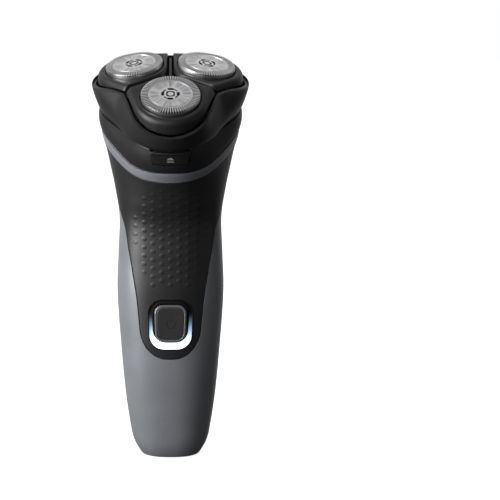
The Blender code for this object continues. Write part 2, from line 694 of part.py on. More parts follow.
def build_hinge():
    y, z = HEAD_HINGE
    tab = block((-5.0, 21.3, -16.9), (5.0, 23.7, -13.3))
    leaf = add("hinge_leaf_head", tab, "black_body", HEAD, (0, y, z))
    knuckle = across(lathe(((1.5, -5.0), (1.5, 5.0)), 20), y, z)
    combine(leaf, helper("head_knuckle", knuckle, HEAD), "UNION")
    body = add("hinge_leaf_body", block((-8.4, 22.4, -23.5), (8.4, 24.6, -19.4)), "black_body", HEAD)
    for name, low, high in (("left_knuckle", -8.4, -5.3), ("right_knuckle", 5.3, 8.4)):
        combine(body, helper(name, across(lathe(((1.5, low), (1.5, high)), 20), y, z), HEAD), "UNION")
        cheek = block((low, 22.9, -20.0), (high, 25.7, z))
        combine(body, helper(name + "_cheek", cheek, HEAD), "UNION")
    bore = helper("hinge_bore", across(lathe(((0.82, -12), (0.82, 12)), 20), y, z), HEAD)
    combine(leaf, bore)
    combine(body, bore)
    add("hinge_pin", across(lathe(((0.76, -8.3), (0.76, 8.3)), 20), y, z), "steel", HEAD)


def build_petal_carrier():
    hub = lathe(((2.2, -9.0), (2.2, -5.6)), 16)
    carrier = add("petal_carrier", hub, "black_body", HEAD, (0, *HEAD_HINGE))
    arms = (("left_arm", -60, 0.65, -5.8), ("right_arm", 60, 0.65, -5.8), ("rear_arm", 180, 0.5, -3.5))
    for name, azimuth, half, top in arms:
        arm = block((-half, -CARRIER_REACH, -8.8), (half, -1.2, top))
        frame = HEAD @ Matrix.Rotation(math.radians(azimuth), 4, "Z")
        combine(carrier, helper(name, arm, frame), "UNION")


def build_unit(side, azimuth):
    frame = unit_frame(azimuth)
    gaps = (REAR_GAP if side == "left" else PETAL_GAP, REAR_GAP if side == "right" else PETAL_GAP)
    skirt = petal_ring(0.0, petal_skirt_level, gaps)
    bore = GUARD_R + 0.35
    rings = [
        petal_bore(bore, PETAL_TOP, skirt),
        petal_ring(1.7, PETAL_TOP, gaps),
        petal_ring(0.7, PETAL_TOP - 0.55, gaps),
        petal_ring(0.1, PETAL_TOP - 1.4, gaps),
        skirt,
        petal_ring(0.6, petal_skirt_level, gaps),
        petal_ring(0.7, PETAL_TOP - 1.5, gaps),
        petal_bore(bore, PETAL_TOP - 1.5, skirt),
    ]
    add(f"petal_{side}", loft(rings, closed=True), "black_body", frame, (0, 0, PETAL_PIVOT))
    add(f"guard_{side}", lathe(guard_profile(), 30), "steel", frame)

    rings = []
    for radius, level in ((9.3, -1.3), (9.3, -2.6)):
        rings.append(cutter_ring(radius, level))
    for radius, level in ((5.2, -3.1), (3.6, -3.4), (3.6, -5.6), (2.5, -5.6), (2.4, -2.9)):
        rings.append([(radius * x, radius * y, level) for x, y in cutter_directions()])
    add(f"cutter_{side}", loft(rings), "steel", frame)


def guard_profile():
    """Cap profile from the middle of its top, over the rim, down the wall and back up inside."""
    return (
        (4.4, 0.2),
        (7.3, 0.0),
        (7.6, -0.3),
        (7.9, 0.0),
        (10.5, 0.0),
        (GUARD_R, -0.35),
        (GUARD_R, -3.7),
        (11.4, -3.7),
        (11.4, -4.5),
        (9.9, -4.5),
        (9.9, -0.9),
    )


BLADES = 9


def cutter_directions():
    directions = []
    for blade in range(BLADES):
        for share in (-0.3, -0.16, 0.16, 0.3):
            turn = 2 * math.pi * (blade + share) / BLADES
            directions.append((math.sin(turn), -math.cos(turn)))
    return directions


def cutter_ring(radius, level):
    """Star outline: the blades reach the radius, the spaces between them stop short."""
    ring = []
    for i, (x, y) in enumerate(cutter_directions()):
        reach = radius if i % 4 in (1, 2) else radius - 2.8
        ring.append((reach * x, reach * y, level))
    return ring


def build_retaining_frame():
    outline = [(x, y) for x, y, _ in head_ring(0, (23.4, 25.6, 19.8, 2.0, 0.13))]
    holes = [circle(WHEEL_POST_R + 0.08, 0, 24)]
    for azimuth in UNIT_AZIMUTHS.values():
        turn = math.radians(azimuth)
        reach = 14.4
        holes.append(circle(6.6, 0, 24, (reach * math.sin(turn), -reach * math.cos(turn))))
    add("retaining_frame", plate(outline, holes, -11.0, -9.4), "inner_plastic", HEAD, (0, *HEAD_HINGE))
    profile = [(5.2, -13.4), (5.4, -13.1), (5.4, -11.8), (5.1, -11.4)]
    profile += [(WHEEL_POST_R, -11.4), (WHEEL_POST_R, -9.5)]
    wheel = add("lock_wheel", lathe(profile, 24), "white_plastic", HEAD)
    for name, x in (("grip_left", -1), ("grip_right", 1)):
        cut = block((-3.15, -7, -14), (3.15, 7, -12.6))
        combine(wheel, helper(name, cut, HEAD @ Matrix.Translation((3.85 * x, 0, 0))))


def comb_outline(half, low, root, tip, teeth, share):
    """Flat comb: a bar with teeth along its upper edge."""
    points = [(-half, low), (half, low)]
    pitch = 2 * half / teeth
    for tooth in range(teeth):
        right = half - pitch * tooth
        points += [(right, root), (right - pitch * (1 - share) / 2, tip)]
        points += [(right - pitch * (1 + share) / 2, tip)]
    points.append((-half, root))
    return points


def build_trimmer():
    y, z = TRIMMER_HINGE
    arm = add("trimmer_arm", rear_slab(TRIMMER_HALF, z, TRIMMER_TOP, 0.0, 1.9), "grey_body", origin=(0, y, z))
    barrel = across(lathe(((1.4, -TRIMMER_HALF), (1.4, TRIMMER_HALF)), 20), y, z)
    combine(arm, helper("trimmer_barrel", barrel), "UNION")
    bore = helper("trimmer_bore", across(lathe(((0.67, -20), (0.67, 20)), 20), y, z))
    combine(arm, bore)
    combine(bpy.data.objects["rear_shell"], bore)
    add("trimmer_pin", across(lathe(((0.6, -12.6), (0.6, 12.6)), 20), y, z), "steel")
    comb = along_front(prism(comb_outline(10.2, 103.6, 108.6, 111.3, 17, 0.45), -11.4, -10.9))
    add("trimmer_comb", comb, "steel", origin=(0, y, z))
    blade = along_front(prism(comb_outline(9.2, 104.2, 108.4, 110.9, 12, 0.5), -10.6, -10.2))
    add("trimmer_blade", blade, "steel", origin=(0, 10.4, 107.0))
    knob = add("trimmer_slider", rear_slab(5.0, 58.0, 70.0, -0.9, 2.3), "black_body", origin=(0, 15.8, 64.0))
    combine(knob, helper("slider_plate", rear_slab(7.0, 54.0, 77.5, 2.0, 2.9)), "UNION")


def main():
    for obj in list(bpy.data.objects):
        bpy.data.objects.remove(obj, do_unlink=True)
    for name, (colour, roughness, metallic) in FINISHES.items():
        material = bpy.data.materials.new(name)
        material.use_nodes = True
        shader = material.node_tree.nodes["Principled BSDF"]
        shader.inputs["Base Color"].default_value = (*colour, 1.0)
        shader.inputs["Roughness"].default_value = roughness
        shader.inputs["Metallic"].default_value = metallic
        material.diffuse_color = (*colour, 1.0)
    build_handle_shells()
    build_front_panel()
    build_power_button()
    build_electronics()
    build_charging_pins()
    build_base_screws()
    build_collar()
    build_release_button()
    build_drive_cover()
    build_motor()
    build_head_shell()
    build_hinge()
    build_petal_carrier()
    for side, azimuth in UNIT_AZIMUTHS.items():
        build_drive(side, azimuth)
        build_unit(side, azimuth)
    build_retaining_frame()
    build_trimmer()
    bpy.context.view_layer.update()


main()
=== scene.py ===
"""Visual model of the cordless rotary shaver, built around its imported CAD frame.

Lengths are in millimetres until a mesh is stored, which turns them into metres. The handle stands on its
base at the origin, +Z up, with its front towards -Y.
"""

import json
from math import acos, atan2, copysign, cos, degrees, hypot, pi, radians, sin, sqrt, tau

import bmesh
import bpy
from mathutils import Matrix, Vector


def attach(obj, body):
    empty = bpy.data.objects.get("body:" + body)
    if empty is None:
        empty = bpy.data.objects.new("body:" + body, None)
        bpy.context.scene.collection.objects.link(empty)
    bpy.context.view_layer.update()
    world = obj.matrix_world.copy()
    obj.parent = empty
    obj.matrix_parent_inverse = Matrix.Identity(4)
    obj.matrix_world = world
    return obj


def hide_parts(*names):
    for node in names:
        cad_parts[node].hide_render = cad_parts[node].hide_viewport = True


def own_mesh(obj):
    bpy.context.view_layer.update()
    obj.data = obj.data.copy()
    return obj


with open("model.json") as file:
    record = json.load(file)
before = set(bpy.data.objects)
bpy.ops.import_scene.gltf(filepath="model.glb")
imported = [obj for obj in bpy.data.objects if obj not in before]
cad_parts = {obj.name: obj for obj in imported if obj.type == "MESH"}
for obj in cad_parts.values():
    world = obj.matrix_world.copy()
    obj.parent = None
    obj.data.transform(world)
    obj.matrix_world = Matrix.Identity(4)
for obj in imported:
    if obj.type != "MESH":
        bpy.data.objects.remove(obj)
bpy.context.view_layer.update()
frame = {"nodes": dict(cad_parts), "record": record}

MM = 0.001
SHARP = 38.0
GAP = 0.3
DIMPLE_ACROSS, DIMPLE_ALONG, DIMPLE_LOW, DIMPLE_HEIGHT = 3.35, 3.2, 72.0, 0.12
WALL = 1.6
# height, centre y, tilt, half width, front depth, rear depth, superellipse power, share of the three lobes
HANDLE_SECTIONS = (
    (0.0, 0.0, 0, 11.7, 8.6, 8.8, 2.3, 0.0),
    (2.0, 0.0, 0, 12.9, 10.2, 10.5, 2.3, 0.0),
    (5.0, 0.0, 0, 14.5, 11.8, 12.2, 2.3, 0.0),
    (9.0, 0.0, 0, 15.65, 13.0, 13.4, 2.3, 0.0),
    (24.0, 0.0, 0, 17.85, 15.0, 15.1, 2.3, 0.0),
    (44.0, 0.0, 0, 19.65, 16.2, 15.8, 2.3, 0.0),
    (67.0, 0.0, 0, 21.05, 16.4, 15.8, 2.3, 0.0),
    (82.0, 0.0, 2, 20.55, 15.7, 15.3, 2.3, 0.0),
    (97.0, 0.0, 8, 20.05, 15.6, 14.9, 2.25, 0.0),
    (109.0, 0.6, 17, 21.9, 20.2, 14.9, 2.2, 0.03),
    (117.0, 0.9, 23, 23.6, 23.6, 15.6, 2.15, 0.05),
    (123.3, 0.03, 26, 24.9, 25.8, 17.3, 2.1, 0.07),
    (127.33, -1.93, 26, 26.0, 26.7, 19.2, 2.05, 0.08),
    (131.4, -3.91, 26, 26.4, 27.1, 20.1, 2.03, 0.085),
)
HANDLE_TOP = 127.33
FLOOR = 2.2
HEAD_TILT = 26.0
HEAD_CENTRE = Vector((0.0, -14.2, 152.5))
HEAD_SIDES = 240
COLLAR_LOW, COLLAR_TOP, RIM = -27.7, -17.9, -17.3
# half width, front depth, rear depth, power, lobes
COLLAR_LOW_SECTION = (26.1, 26.8, 19.4, 2.05, 0.08)
COLLAR_MID_SECTION = (26.6, 27.1, 19.9, 2.0, 0.09)
COLLAR_TOP_SECTION = (26.9, 27.6, 22.0, 2.0, 0.12)
RIM_SECTION = (25.9, 28.3, 22.5, 2.0, 0.135)
SHOULDER_SECTION = (28.4, 31.2, 24.0, 2.0, 0.14)
UNIT_CIRCLE, UNIT_LEAN = 16.0, 9.0
UNIT_AZIMUTHS = {"front": 0.0, "left": -120.0, "right": 120.0}
GUARD_R, PETAL_R, PETAL_CORNER_R, PETAL_TOP = 10.9, 14.0, 19.2, -1.7
PETAL_GAP, REAR_GAP = 0.4, 1.1
PETAL_GAP_FLARE, REAR_GAP_FLARE = 0.55, 0.35
PANEL_BOTTOM, PANEL_U_TOP, PANEL_TOP, PANEL_RISE = 42.5, 55.0, 123.3, 2.4
PANEL_MEAN_RADIUS = 19.0
# how far the seam under the collar stands off its plane, by degrees from the front
SEAM = ((0, -0.3), (22, -0.9), (38, -0.7), (60, 0.6), (90, 2.0), (125, 1.3), (180, 0.0))
# height, and how many degrees from the front the panel's side edge lies there
PANEL_EDGE = ((PANEL_U_TOP, 40.0), (67.0, 43.7), (79.0, 51.5), (87.5, 58.4), (95.0, 65.5))
PANEL_EDGE += ((101.0, 78.0), (107.0, 92.0), (114.0, 103.0), (PANEL_TOP, 111.0))
BUTTON_CENTRE, RING_CENTRE = 56.75, 56.2
BUTTON_SIZE, RING_HOLE = (12.0, 14.3), (16.9, 19.6)
TRIMMER_HALF, TRIMMER_TOP, TRIMMER_HINGE = 10.5, 105.4, (12.3, 84.2)
HEAD = Matrix.Translation(HEAD_CENTRE) @ Matrix.Rotation(radians(HEAD_TILT), 4, "X")
WORLD = Matrix.Identity(4)


# --- materials -------------------------------------------------------------------------------


def preset(node, values):
    for name, value in values.items():
        node.inputs[name].default_value = value


class Surface:
    """A Principled material with helpers for the nodes that vary it over the surface."""

    def __init__(self, name, colour, metallic=0.0):
        self.material = bpy.data.materials.new(name)
        self.material.use_nodes = True
        self.nodes = self.material.node_tree.nodes
        self.links = self.material.node_tree.links
        self.shader = self.nodes["Principled BSDF"]
        self.shader.inputs["Metallic"].default_value = metallic
        self.material.diffuse_color = (*colour, 1.0)
        self.where = self.nodes.new("ShaderNodeTexCoord").outputs["Object"]
        self.heights = []

    def put(self, socket, value):
        if hasattr(value, "is_output"):
            self.links.new(value, socket)
        else:
            socket.default_value = value

    def noise(self, scale, detail=3.0, roughness=0.6, vector=None):
        node = self.nodes.new("ShaderNodeTexNoise")
        preset(node, {"Scale": scale, "Detail": detail, "Roughness": roughness})
        self.links.new(vector or self.where, node.inputs["Vector"])
        return node.outputs["Fac"]

    def stretched(self, scale):
        node = self.nodes.new("ShaderNodeMapping")
        node.inputs["Scale"].default_value = scale
        self.links.new(self.where, node.inputs["Vector"])
        return node.outputs["Vector"]

    def split(self, vector=None):
        """X, Y and Z of a vector, or of the place on the object."""
        node = self.nodes.new("ShaderNodeSeparateXYZ")
        self.links.new(vector or self.where, node.inputs[0])
        return node.outputs

    def join(self, *parts):
        node = self.nodes.new("ShaderNodeCombineXYZ")
        for socket, part in zip(node.inputs, parts):
            self.links.new(part, socket)
        return node.outputs[0]

    def math(self, operation, first, second=0.0, clamp=False):
        node = self.nodes.new("ShaderNodeMath")
        node.operation = operation
        node.use_clamp = clamp
        self.put(node.inputs[0], first)
        self.put(node.inputs[1], second)
        return node.outputs[0]

    def product(self, first, second):
        return self.math("MULTIPLY", first, second)

    def spread(self, value, low, high, to_low=0.0, to_high=1.0):
        node = self.nodes.new("ShaderNodeMapRange")
        preset(node, {"From Min": low, "From Max": high, "To Min": to_low, "To Max": to_high})
        self.links.new(value, node.inputs["Value"])
        return node.outputs["Result"]

    def vary(self, noise, low=0.0, high=1.0):
        """Noise spread over the range from low to high."""
        return self.spread(noise, 0.3, 0.7, low, high)

    def mix(self, share, first, second):
        node = self.nodes.new("ShaderNodeMix")
        node.data_type = "RGBA"
        self.put(node.inputs["Factor"], share)
        for socket, value in ((node.inputs[6], first), (node.inputs[7], second)):
            self.put(socket, value if hasattr(value, "is_output") else (*value, 1.0))
        return node.outputs[2]

    def wear(self, low=0.52, high=0.6):
        """Share of wear on outward edges, broken up by noise."""
        edge = self.spread(self.nodes.new("ShaderNodeNewGeometry").outputs["Pointiness"], low, high)
        broken = self.spread(self.noise(900.0), 0.35, 0.65, 0.3, 1.0)
        return self.math("MULTIPLY", edge, broken, clamp=True)

    def bump(self, height, distance):
        node = self.nodes.new("ShaderNodeBump")
        preset(node, {"Strength": 1.0, "Distance": distance})
        self.links.new(height, node.inputs["Height"])
        if self.heights:
            self.links.new(self.heights[-1], node.inputs["Normal"])
        self.heights.append(node.outputs["Normal"])

    def done(self, colour, roughness):
        self.put(self.shader.inputs["Base Color"], colour)
        self.put(self.shader.inputs["Roughness"], roughness)
        if self.heights:
            self.links.new(self.heights[-1], self.shader.inputs["Normal"])
        return self.material


def tinted(colour, factor):
    return tuple(min(1.0, channel * factor) for channel in colour)


def moulded(name, colour, roughness, grain=2600.0, depth=0.00002, worn=1.8, specular=0.5):
    """Moulded plastic: fine spark-eroded grain, faint mottling and slightly polished edges."""
    s = Surface(name, colour)
    s.shader.inputs["Specular IOR Level"].default_value = specular
    cloud = s.noise(45.0, 4.0)
    speck = s.noise(grain, 2.0)
    base = s.mix(s.vary(cloud), tinted(colour, 0.9), tinted(colour, 1.1))
    base = s.mix(s.spread(speck, 0.35, 0.75, 0.0, 0.35), base, tinted(colour, 1.35))
    edge = s.wear()
    base = s.mix(edge, base, tinted(colour, worn))
    rough = s.vary(cloud, roughness - 0.04, roughness + 0.04)
    rough = s.math("ADD", rough, s.vary(speck, -0.03, 0.03))
    rough = s.math("SUBTRACT", rough, s.product(edge, 0.08))
    s.bump(speck, depth)
    return s.done(base, rough)


def metal(name, colour, roughness, stretch=(1.0, 1.0, 1.0), scale=2500.0, depth=0.000004):
    """Metal with fine drawn or ground lines along the axis that the stretch squeezes."""
    s = Surface(name, colour, 1.0)
    lines = s.noise(scale, 4.0, 0.7, s.stretched(stretch))
    cloud = s.noise(120.0, 3.0)
    base = s.mix(s.vary(lines), tinted(colour, 0.85), tinted(colour, 1.08))
    base = s.mix(s.wear(), base, tinted(colour, 1.2))
    rough = s.vary(lines, roughness - 0.07, roughness + 0.07)
    rough = s.math("ADD", rough, s.vary(cloud, -0.04, 0.04))
    s.bump(lines, depth)
    return s.done(base, rough)


def light_material():
    """Lit diffuser: its glow is bright at the lower middle and fades to dark up its two sides; its base
    colour darkens upwards too, as painted shade.
    """
    s = Surface("lit_diffuser", (0.75, 0.85, 0.95))
    s.shader.inputs["Specular IOR Level"].default_value = 0.15
    height = s.split()["Z"]
    fade = s.spread(height, 0.0495, 0.0615, 1.0, 0.0)
    fade = s.math("POWER", fade, 2.4, clamp=True)
    speck = s.noise(1500.0, 2.0)
    shade = s.mix(s.spread(height, 0.0472, 0.0525), (1.0, 1.0, 1.0), (0.42, 0.68, 1.0))
    # base colour: the diffuser's own pale grey at the bottom, darkened to near black towards the top as
    # painted shade of the recess
    base = s.mix(fade, (0.006, 0.007, 0.009), (0.6, 0.65, 0.7))
    s.links.new(shade, s.shader.inputs["Emission Color"])
    glow = s.product(fade, s.vary(speck, 2.2, 2.6))
    s.links.new(glow, s.shader.inputs["Emission Strength"])
    s.bump(speck, 0.00001)
    return s.done(base, s.vary(speck, 0.3, 0.42))


def board_material():
    s = Surface("circuit_board", (0.02, 0.12, 0.06))
    tracks = s.nodes.new("ShaderNodeTexVoronoi")
    tracks.feature = "DISTANCE_TO_EDGE"
    tracks.inputs["Scale"].default_value = 420.0
    s.links.new(s.where, tracks.inputs["Vector"])
    line = s.spread(tracks.outputs["Distance"], 0.06, 0.1)
    base = s.mix(line, (0.05, 0.22, 0.1), (0.015, 0.1, 0.05))
    s.bump(line, 0.00002)
    return s.done(base, s.vary(s.noise(300.0), 0.32, 0.48))


GREY = (0.126, 0.132, 0.143)
BLACK = (0.0095, 0.0095, 0.0102)
MATERIALS = {
    "grey_body": moulded("satin_grey", GREY, 0.36, 3200.0, 0.000012, 1.5),
    "black_body": moulded("satin_black", BLACK, 0.42, specular=0.3),
    "black_panel": moulded("soft_black", (0.0105, 0.0105, 0.011), 0.42, 3000.0, 0.000012, specular=0.36),
    "black_gloss": moulded("gloss_black", (0.009, 0.009, 0.01), 0.2, 1800.0, 0.000006),
    "inner_plastic": moulded("inner_plastic", (0.05, 0.05, 0.055), 0.5),
    "white_plastic": moulded("natural_acetal", (0.62, 0.61, 0.57), 0.42, 1500.0, 0.00001, 1.1),
    "shaving_steel": metal("ground_steel", (0.62, 0.62, 0.63), 0.32),
    "steel": metal("plain_steel", (0.56, 0.56, 0.57), 0.3, (1.0, 1.0, 0.08)),
    "brass": metal("brass", (0.72, 0.5, 0.2), 0.28),
    "light": light_material(),
    "rubber": moulded("rubber", (0.02, 0.02, 0.021), 0.75, 1800.0, 0.00004, 1.4),
    "board": board_material(),
    "battery": moulded("cell_sleeve", (0.03, 0.16, 0.24), 0.32, 900.0, 0.000008, 1.3),
}
MARK = moulded("printed_grey", (0.2, 0.2, 0.205), 0.45, 2000.0, 0.000005, 1.1)
# Deep black: painted shade in the recesses, in the gap under the head and under the guards' slotted tracks,
# and the dark marks on the guards' drive caps.
SHADE_AND_MARK_BLACK = moulded("shade_and_mark_black", (0.004, 0.004, 0.004), 0.7, 2000.0, 0.000005, 1.1, 0.1)


# --- mesh building ---------------------------------------------------------------------------


def facing_out(bm):
    bmesh.ops.recalc_face_normals(bm, faces=bm.faces[:])
    return bm


def loft(rings, closed=False):
    """Solid skinned through rings of points, capped at its ends unless the rings close on themselves."""
    bm = bmesh.new()
    rows = [[bm.verts.new(point) for point in ring] for ring in rings]
    following = rows[1:] + rows[:1] if closed else rows[1:]
    for low, high in zip(rows, following):
        for i in range(len(low)):
            j = (i + 1) % len(low)
            bm.faces.new((low[i], low[j], high[j], high[i]))
    if not closed:
        bm.faces.new(rows[0][::-1])
        bm.faces.new(rows[-1])
    return facing_out(bm)


def pierced(outer, inner, hole=None, wrap=False):
    """Solid between two equal grids of points, without the cells for which hole(row, column) holds."""
    rows, columns = len(outer), len(outer[0])
    spans = columns if wrap else columns - 1
    bm = bmesh.new()
    top = [[bm.verts.new(point) for point in row] for row in outer]
    base = [[bm.verts.new(point) for point in row] for row in inner]

    def solid(i, j):
        j = j % columns if wrap else j
        return 0 <= i < rows - 1 and 0 <= j < spans and not (hole and hole(i, j))

    for i in range(rows - 1):
        for j in range(spans):
            if not solid(i, j):
                continue
            k = (j + 1) % columns
            corners = ((i, j), (i, k), (i + 1, k), (i + 1, j))
            bm.faces.new([top[a][b] for a, b in corners])
            bm.faces.new([base[a][b] for a, b in reversed(corners)])
            for n, (di, dj) in enumerate(((-1, 0), (0, 1), (1, 0), (0, -1))):
                if not solid(i + di, j + dj):
                    (a, b), (c, d) = corners[n], corners[(n + 1) % 4]
                    bm.faces.new((top[c][d], top[a][b], base[a][b], base[c][d]))
    loose = [vert for vert in bm.verts if not vert.link_faces]
    bmesh.ops.delete(bm, geom=loose, context="VERTS")
    return facing_out(bm)


def lathe(profile, sides, closed=False):
    """Solid turned about Z from (radius, level) points."""
    turns = [tau * i / sides for i in range(sides)]
    return loft([[(r * cos(t), r * sin(t), z) for t in turns] for r, z in profile], closed)


def prism(outline, low, high):
    return loft([[(x, y, low) for x, y in outline], [(x, y, high) for x, y in outline]])


def block(low, high):
    bm = bmesh.new()
    size = [b - a for a, b in zip(low, high)]
    middle = [(a + b) / 2 for a, b in zip(low, high)]
    bmesh.ops.create_cube(bm, size=1.0, matrix=Matrix.Translation(middle) @ Matrix.Diagonal((*size, 1)))
    return bm


def rounded_rectangle(width, height, radius, centre=(0.0, 0.0), steps=10, taper=0.0, bulge=0.0):
    """Outline with round corners; it narrows towards -Y by the taper, and its sides bow out by the bulge."""
    points = []
    for quarter, (sx, sy) in enumerate(((1, 1), (-1, 1), (-1, -1), (1, -1))):
        cx, cy = sx * (width / 2 - radius), sy * (height / 2 - radius)
        for step in range(steps + 1):
            turn = pi / 2 * (quarter + step / steps)
            points.append((cx + radius * cos(turn), cy + radius * sin(turn)))
    filled = []
    for (x, y), (x2, y2) in zip(points, points[1:] + points[:1]):
        pieces = max(1, round(hypot(x2 - x, y2 - y) / 0.8))
        filled += [(x + (x2 - x) * k / pieces, y + (y2 - y) * k / pieces) for k in range(pieces)]
    shaped = []
    for x, y in filled:
        u, v = 2 * x / width, 2 * y / height
        x *= 1 + taper * v + bulge * (1 - v * v)
        y *= 1 + bulge * (1 - u * u)
        shaped.append((centre[0] + x, centre[1] + y))
    return shaped


def moved(bm, matrix):
    bmesh.ops.transform(bm, matrix=matrix, verts=bm.verts[:])
    return bm


def along_front(bm):
    """Turns a mesh built with X across and Y up, extruded along Z, to stand behind the front face."""
    return moved(bm, Matrix.Rotation(pi / 2, 4, "X"))


def stored(name, bm):
    mesh = bpy.data.meshes.new(name)
    bm.to_mesh(mesh)
    bm.free()
    return mesh


def linked(name, data):
    obj = bpy.data.objects.new(name, data)
    bpy.context.scene.collection.objects.link(obj)
    return obj


def shade(mesh, material, sharp):
    mesh.materials.clear()
    mesh.materials.append(material)
    mesh.shade_smooth()
    mesh.set_sharp_from_angle(angle=radians(sharp))


def piece(name, bm, slot, body, replaces=(), place=WORLD, sharp=SHARP, material=None):
    """Visible object from a mesh in millimetres, riding on a body."""
    mesh = stored(name, moved(bm, Matrix.Scale(MM, 4) @ place))
    shade(mesh, material or MATERIALS[slot], sharp)
    obj = linked(name, mesh)
    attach(obj, body)
    if replaces:
        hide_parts(*replaces)
    return obj


def cut(obj, bm, place=WORLD):
    """Takes a helper mesh away from an object at once."""
    helper = stored("helper", moved(bm, Matrix.Scale(MM, 4) @ place))
    other = linked("helper", helper)
    modifier = obj.modifiers.new("cut", "BOOLEAN")
    modifier.operation = "DIFFERENCE"
    modifier.object = other
    bpy.context.view_layer.update()
    graph = bpy.context.evaluated_depsgraph_get()
    mesh = bpy.data.meshes.new_from_object(obj.evaluated_get(graph))
    obj.modifiers.clear()
    material = obj.data.materials[0]
    obj.data = mesh
    shade(mesh, material, SHARP)
    bpy.data.objects.remove(other, do_unlink=True)
    bpy.data.meshes.remove(helper)


def smooth(value, low, high):
    t = min(1.0, max(0.0, (value - low) / (high - low)))
    return t * t * (3 - 2 * t)


def span(start, end, count):
    return [start + (end - start) * i / (count - 1) for i in range(count)]


# --- handle surface --------------------------------------------------------------------------


def hermite(rows, at):
    """Smooth values of a table whose rows start with their key."""
    k = max(i for i in range(len(rows) - 1) if rows[i][0] <= at or i == 0)
    low, high = rows[k], rows[k + 1]
    width = high[0] - low[0]
    before, after = rows[max(k - 1, 0)], rows[min(k + 2, len(rows) - 1)]
    t = (at - low[0]) / width
    values = []
    for i in range(1, len(low)):
        rise_low = (high[i] - before[i]) / (high[0] - before[0]) * width
        rise_high = (after[i] - low[i]) / (after[0] - low[0]) * width
        values.append(
            low[i] * (2 * t**3 - 3 * t**2 + 1)
            + rise_low * (t**3 - 2 * t**2 + t)
            + high[i] * (3 * t**2 - 2 * t**3)
            + rise_high * (t**3 - t**2)
        )
    return values


def section_radius(azimuth, half_width, front, rear, power, lobes):
    c, s = cos(azimuth), sin(azimuth)
    depth = front / (1 + lobes) if c > 0 else rear / (1 - lobes)
    plain = (abs(s / half_width) ** power + abs(c / depth) ** power) ** (-1 / power)
    return plain * (1 + lobes * cos(3 * azimuth))


def skin(height, azimuth, depth=0.0):
    """Point of the handle's surface, or a set depth inside it; azimuth in radians from the front."""
    centre_y, tilt, *shape = hermite(HANDLE_SECTIONS, height)
    radius = section_radius(azimuth, *shape) - depth
    back = -radius * cos(azimuth)
    tilt = radians(tilt)
    y, z = centre_y + back * cos(tilt), height + back * sin(tilt)
    return Vector((radius * sin(azimuth), y, z))


def seam(turn):
    """Height of the seam under the collar above its plane."""
    return hermite(SEAM, abs((degrees(turn) + 180) % 360 - 180))[0]


def azimuth_at(height, x, rear):
    low, high = (pi / 2, pi) if rear else (0.0, pi / 2)
    for _ in range(30):
        middle = (low + high) / 2
        inside = skin(height, middle).x < abs(x)
        if inside == rear:
            high = middle
        else:
            low = middle
    return copysign((low + high) / 2, x)


def edge_drop(distance, radius):
    """How far a rounded edge of the given radius lies below the face, at a distance from the edge."""
    if distance >= radius:
        return 0.0
    return radius - sqrt(max(0.0, radius**2 - (radius - distance) ** 2))


def marks(half, radius, count):
    """Positions across -half..half, close together near both ends where the edge is rounded."""
    inner = half - radius
    edge = [inner + radius * sin(pi / 2 * i / 4) for i in range(1, 5)]
    return [-x for x in reversed(edge)] + span(-inner, inner, count) + edge


def rear_slab(half, low, high, outer_depth, inner_depth, columns, rows, radius=0.35, relief=None):
    """Slab with rounded edges that follows the back of the handle, with an optional relief(x, height)."""
    centre, reach = (low + high) / 2, (high - low) / 2
    outer, inner = [], []
    for off in marks(reach, radius, rows):
        height = centre + off
        line = []
        for x in marks(half, radius, columns):
            turn = azimuth_at(height, x, rear=True) if abs(x) > 1e-6 else pi
            drop = edge_drop(min(half - abs(x), reach - abs(off)), radius)
            raise_by = relief(x, height) if relief else 0.0
            line.append((turn, outer_depth + drop - raise_by))
        outer.append([skin(height, turn, depth) for turn, depth in line])
        inner.append([skin(height, turn, inner_depth) for turn, _ in line])
    return pierced(outer, inner)


def panel_edge(height):
    return hermite(PANEL_EDGE, max(PANEL_U_TOP, min(PANEL_TOP, height)))[0]


def dimple(x, height):
    """Relief of the grip field: staggered columns of round bumps that fade out towards its border."""
    column = round(x / DIMPLE_ACROSS)
    shift = DIMPLE_ALONG / 2 if column % 2 else 0.0
    cx = column * DIMPLE_ACROSS
    cz = DIMPLE_LOW + shift + round((height - DIMPLE_LOW - shift) / DIMPLE_ALONG) * DIMPLE_ALONG
    reach = 8.0 + 5.4 * smooth(cz, 68, 86) - 5.6 * smooth(cz, 98, 114)
    if not (DIMPLE_LOW - 0.5 <= cz <= 114.0 and abs(cx) <= reach):
        return 0.0
    fade = 0.35 + 0.65 * smooth(reach + 3.0 - abs(cx), 0.0, 6.0) * smooth(116.0 - cz, 0.0, 14.0)
    size = 0.75 + 0.25 * fade
    radius = hypot((x - cx) / 1.12, (height - cz) / 0.88) / size
    return DIMPLE_HEIGHT * fade * (1 - smooth(radius, 0.5, 1.0))


def panel_rows(step):
    low = [PANEL_U_TOP - (PANEL_U_TOP - PANEL_BOTTOM) * cos(radians(a)) for a in span(4, 90, 26)]
    high = span(PANEL_U_TOP, PANEL_TOP, round((PANEL_TOP - PANEL_U_TOP) / step) + 1)[1:]
    return low + high


def panel_point(height, share, margin):
    """Height, turn and half width of a point of the panel: share runs from -1 to 1 across it."""
    if height < PANEL_U_TOP:
        drop = (PANEL_U_TOP - height) / (PANEL_U_TOP - PANEL_BOTTOM)
        width = panel_edge(PANEL_U_TOP) * max(0.0, 1 - drop**2) ** 0.425
        height = PANEL_U_TOP - (PANEL_U_TOP - PANEL_BOTTOM + margin) * drop
    else:
        width = panel_edge(height)
        if height >= PANEL_TOP - 1e-6:
            height += margin
    grown = radians(width) + margin / hermite(HANDLE_SECTIONS, height)[2]
    climb = max(0.0, (height - 101.0) / (PANEL_TOP - 101.0))
    turn = grown * share
    rise = PANEL_RISE * climb * smooth(abs(degrees(turn)), 25.0, PANEL_EDGE[-1][1])
    return height + rise, turn, grown


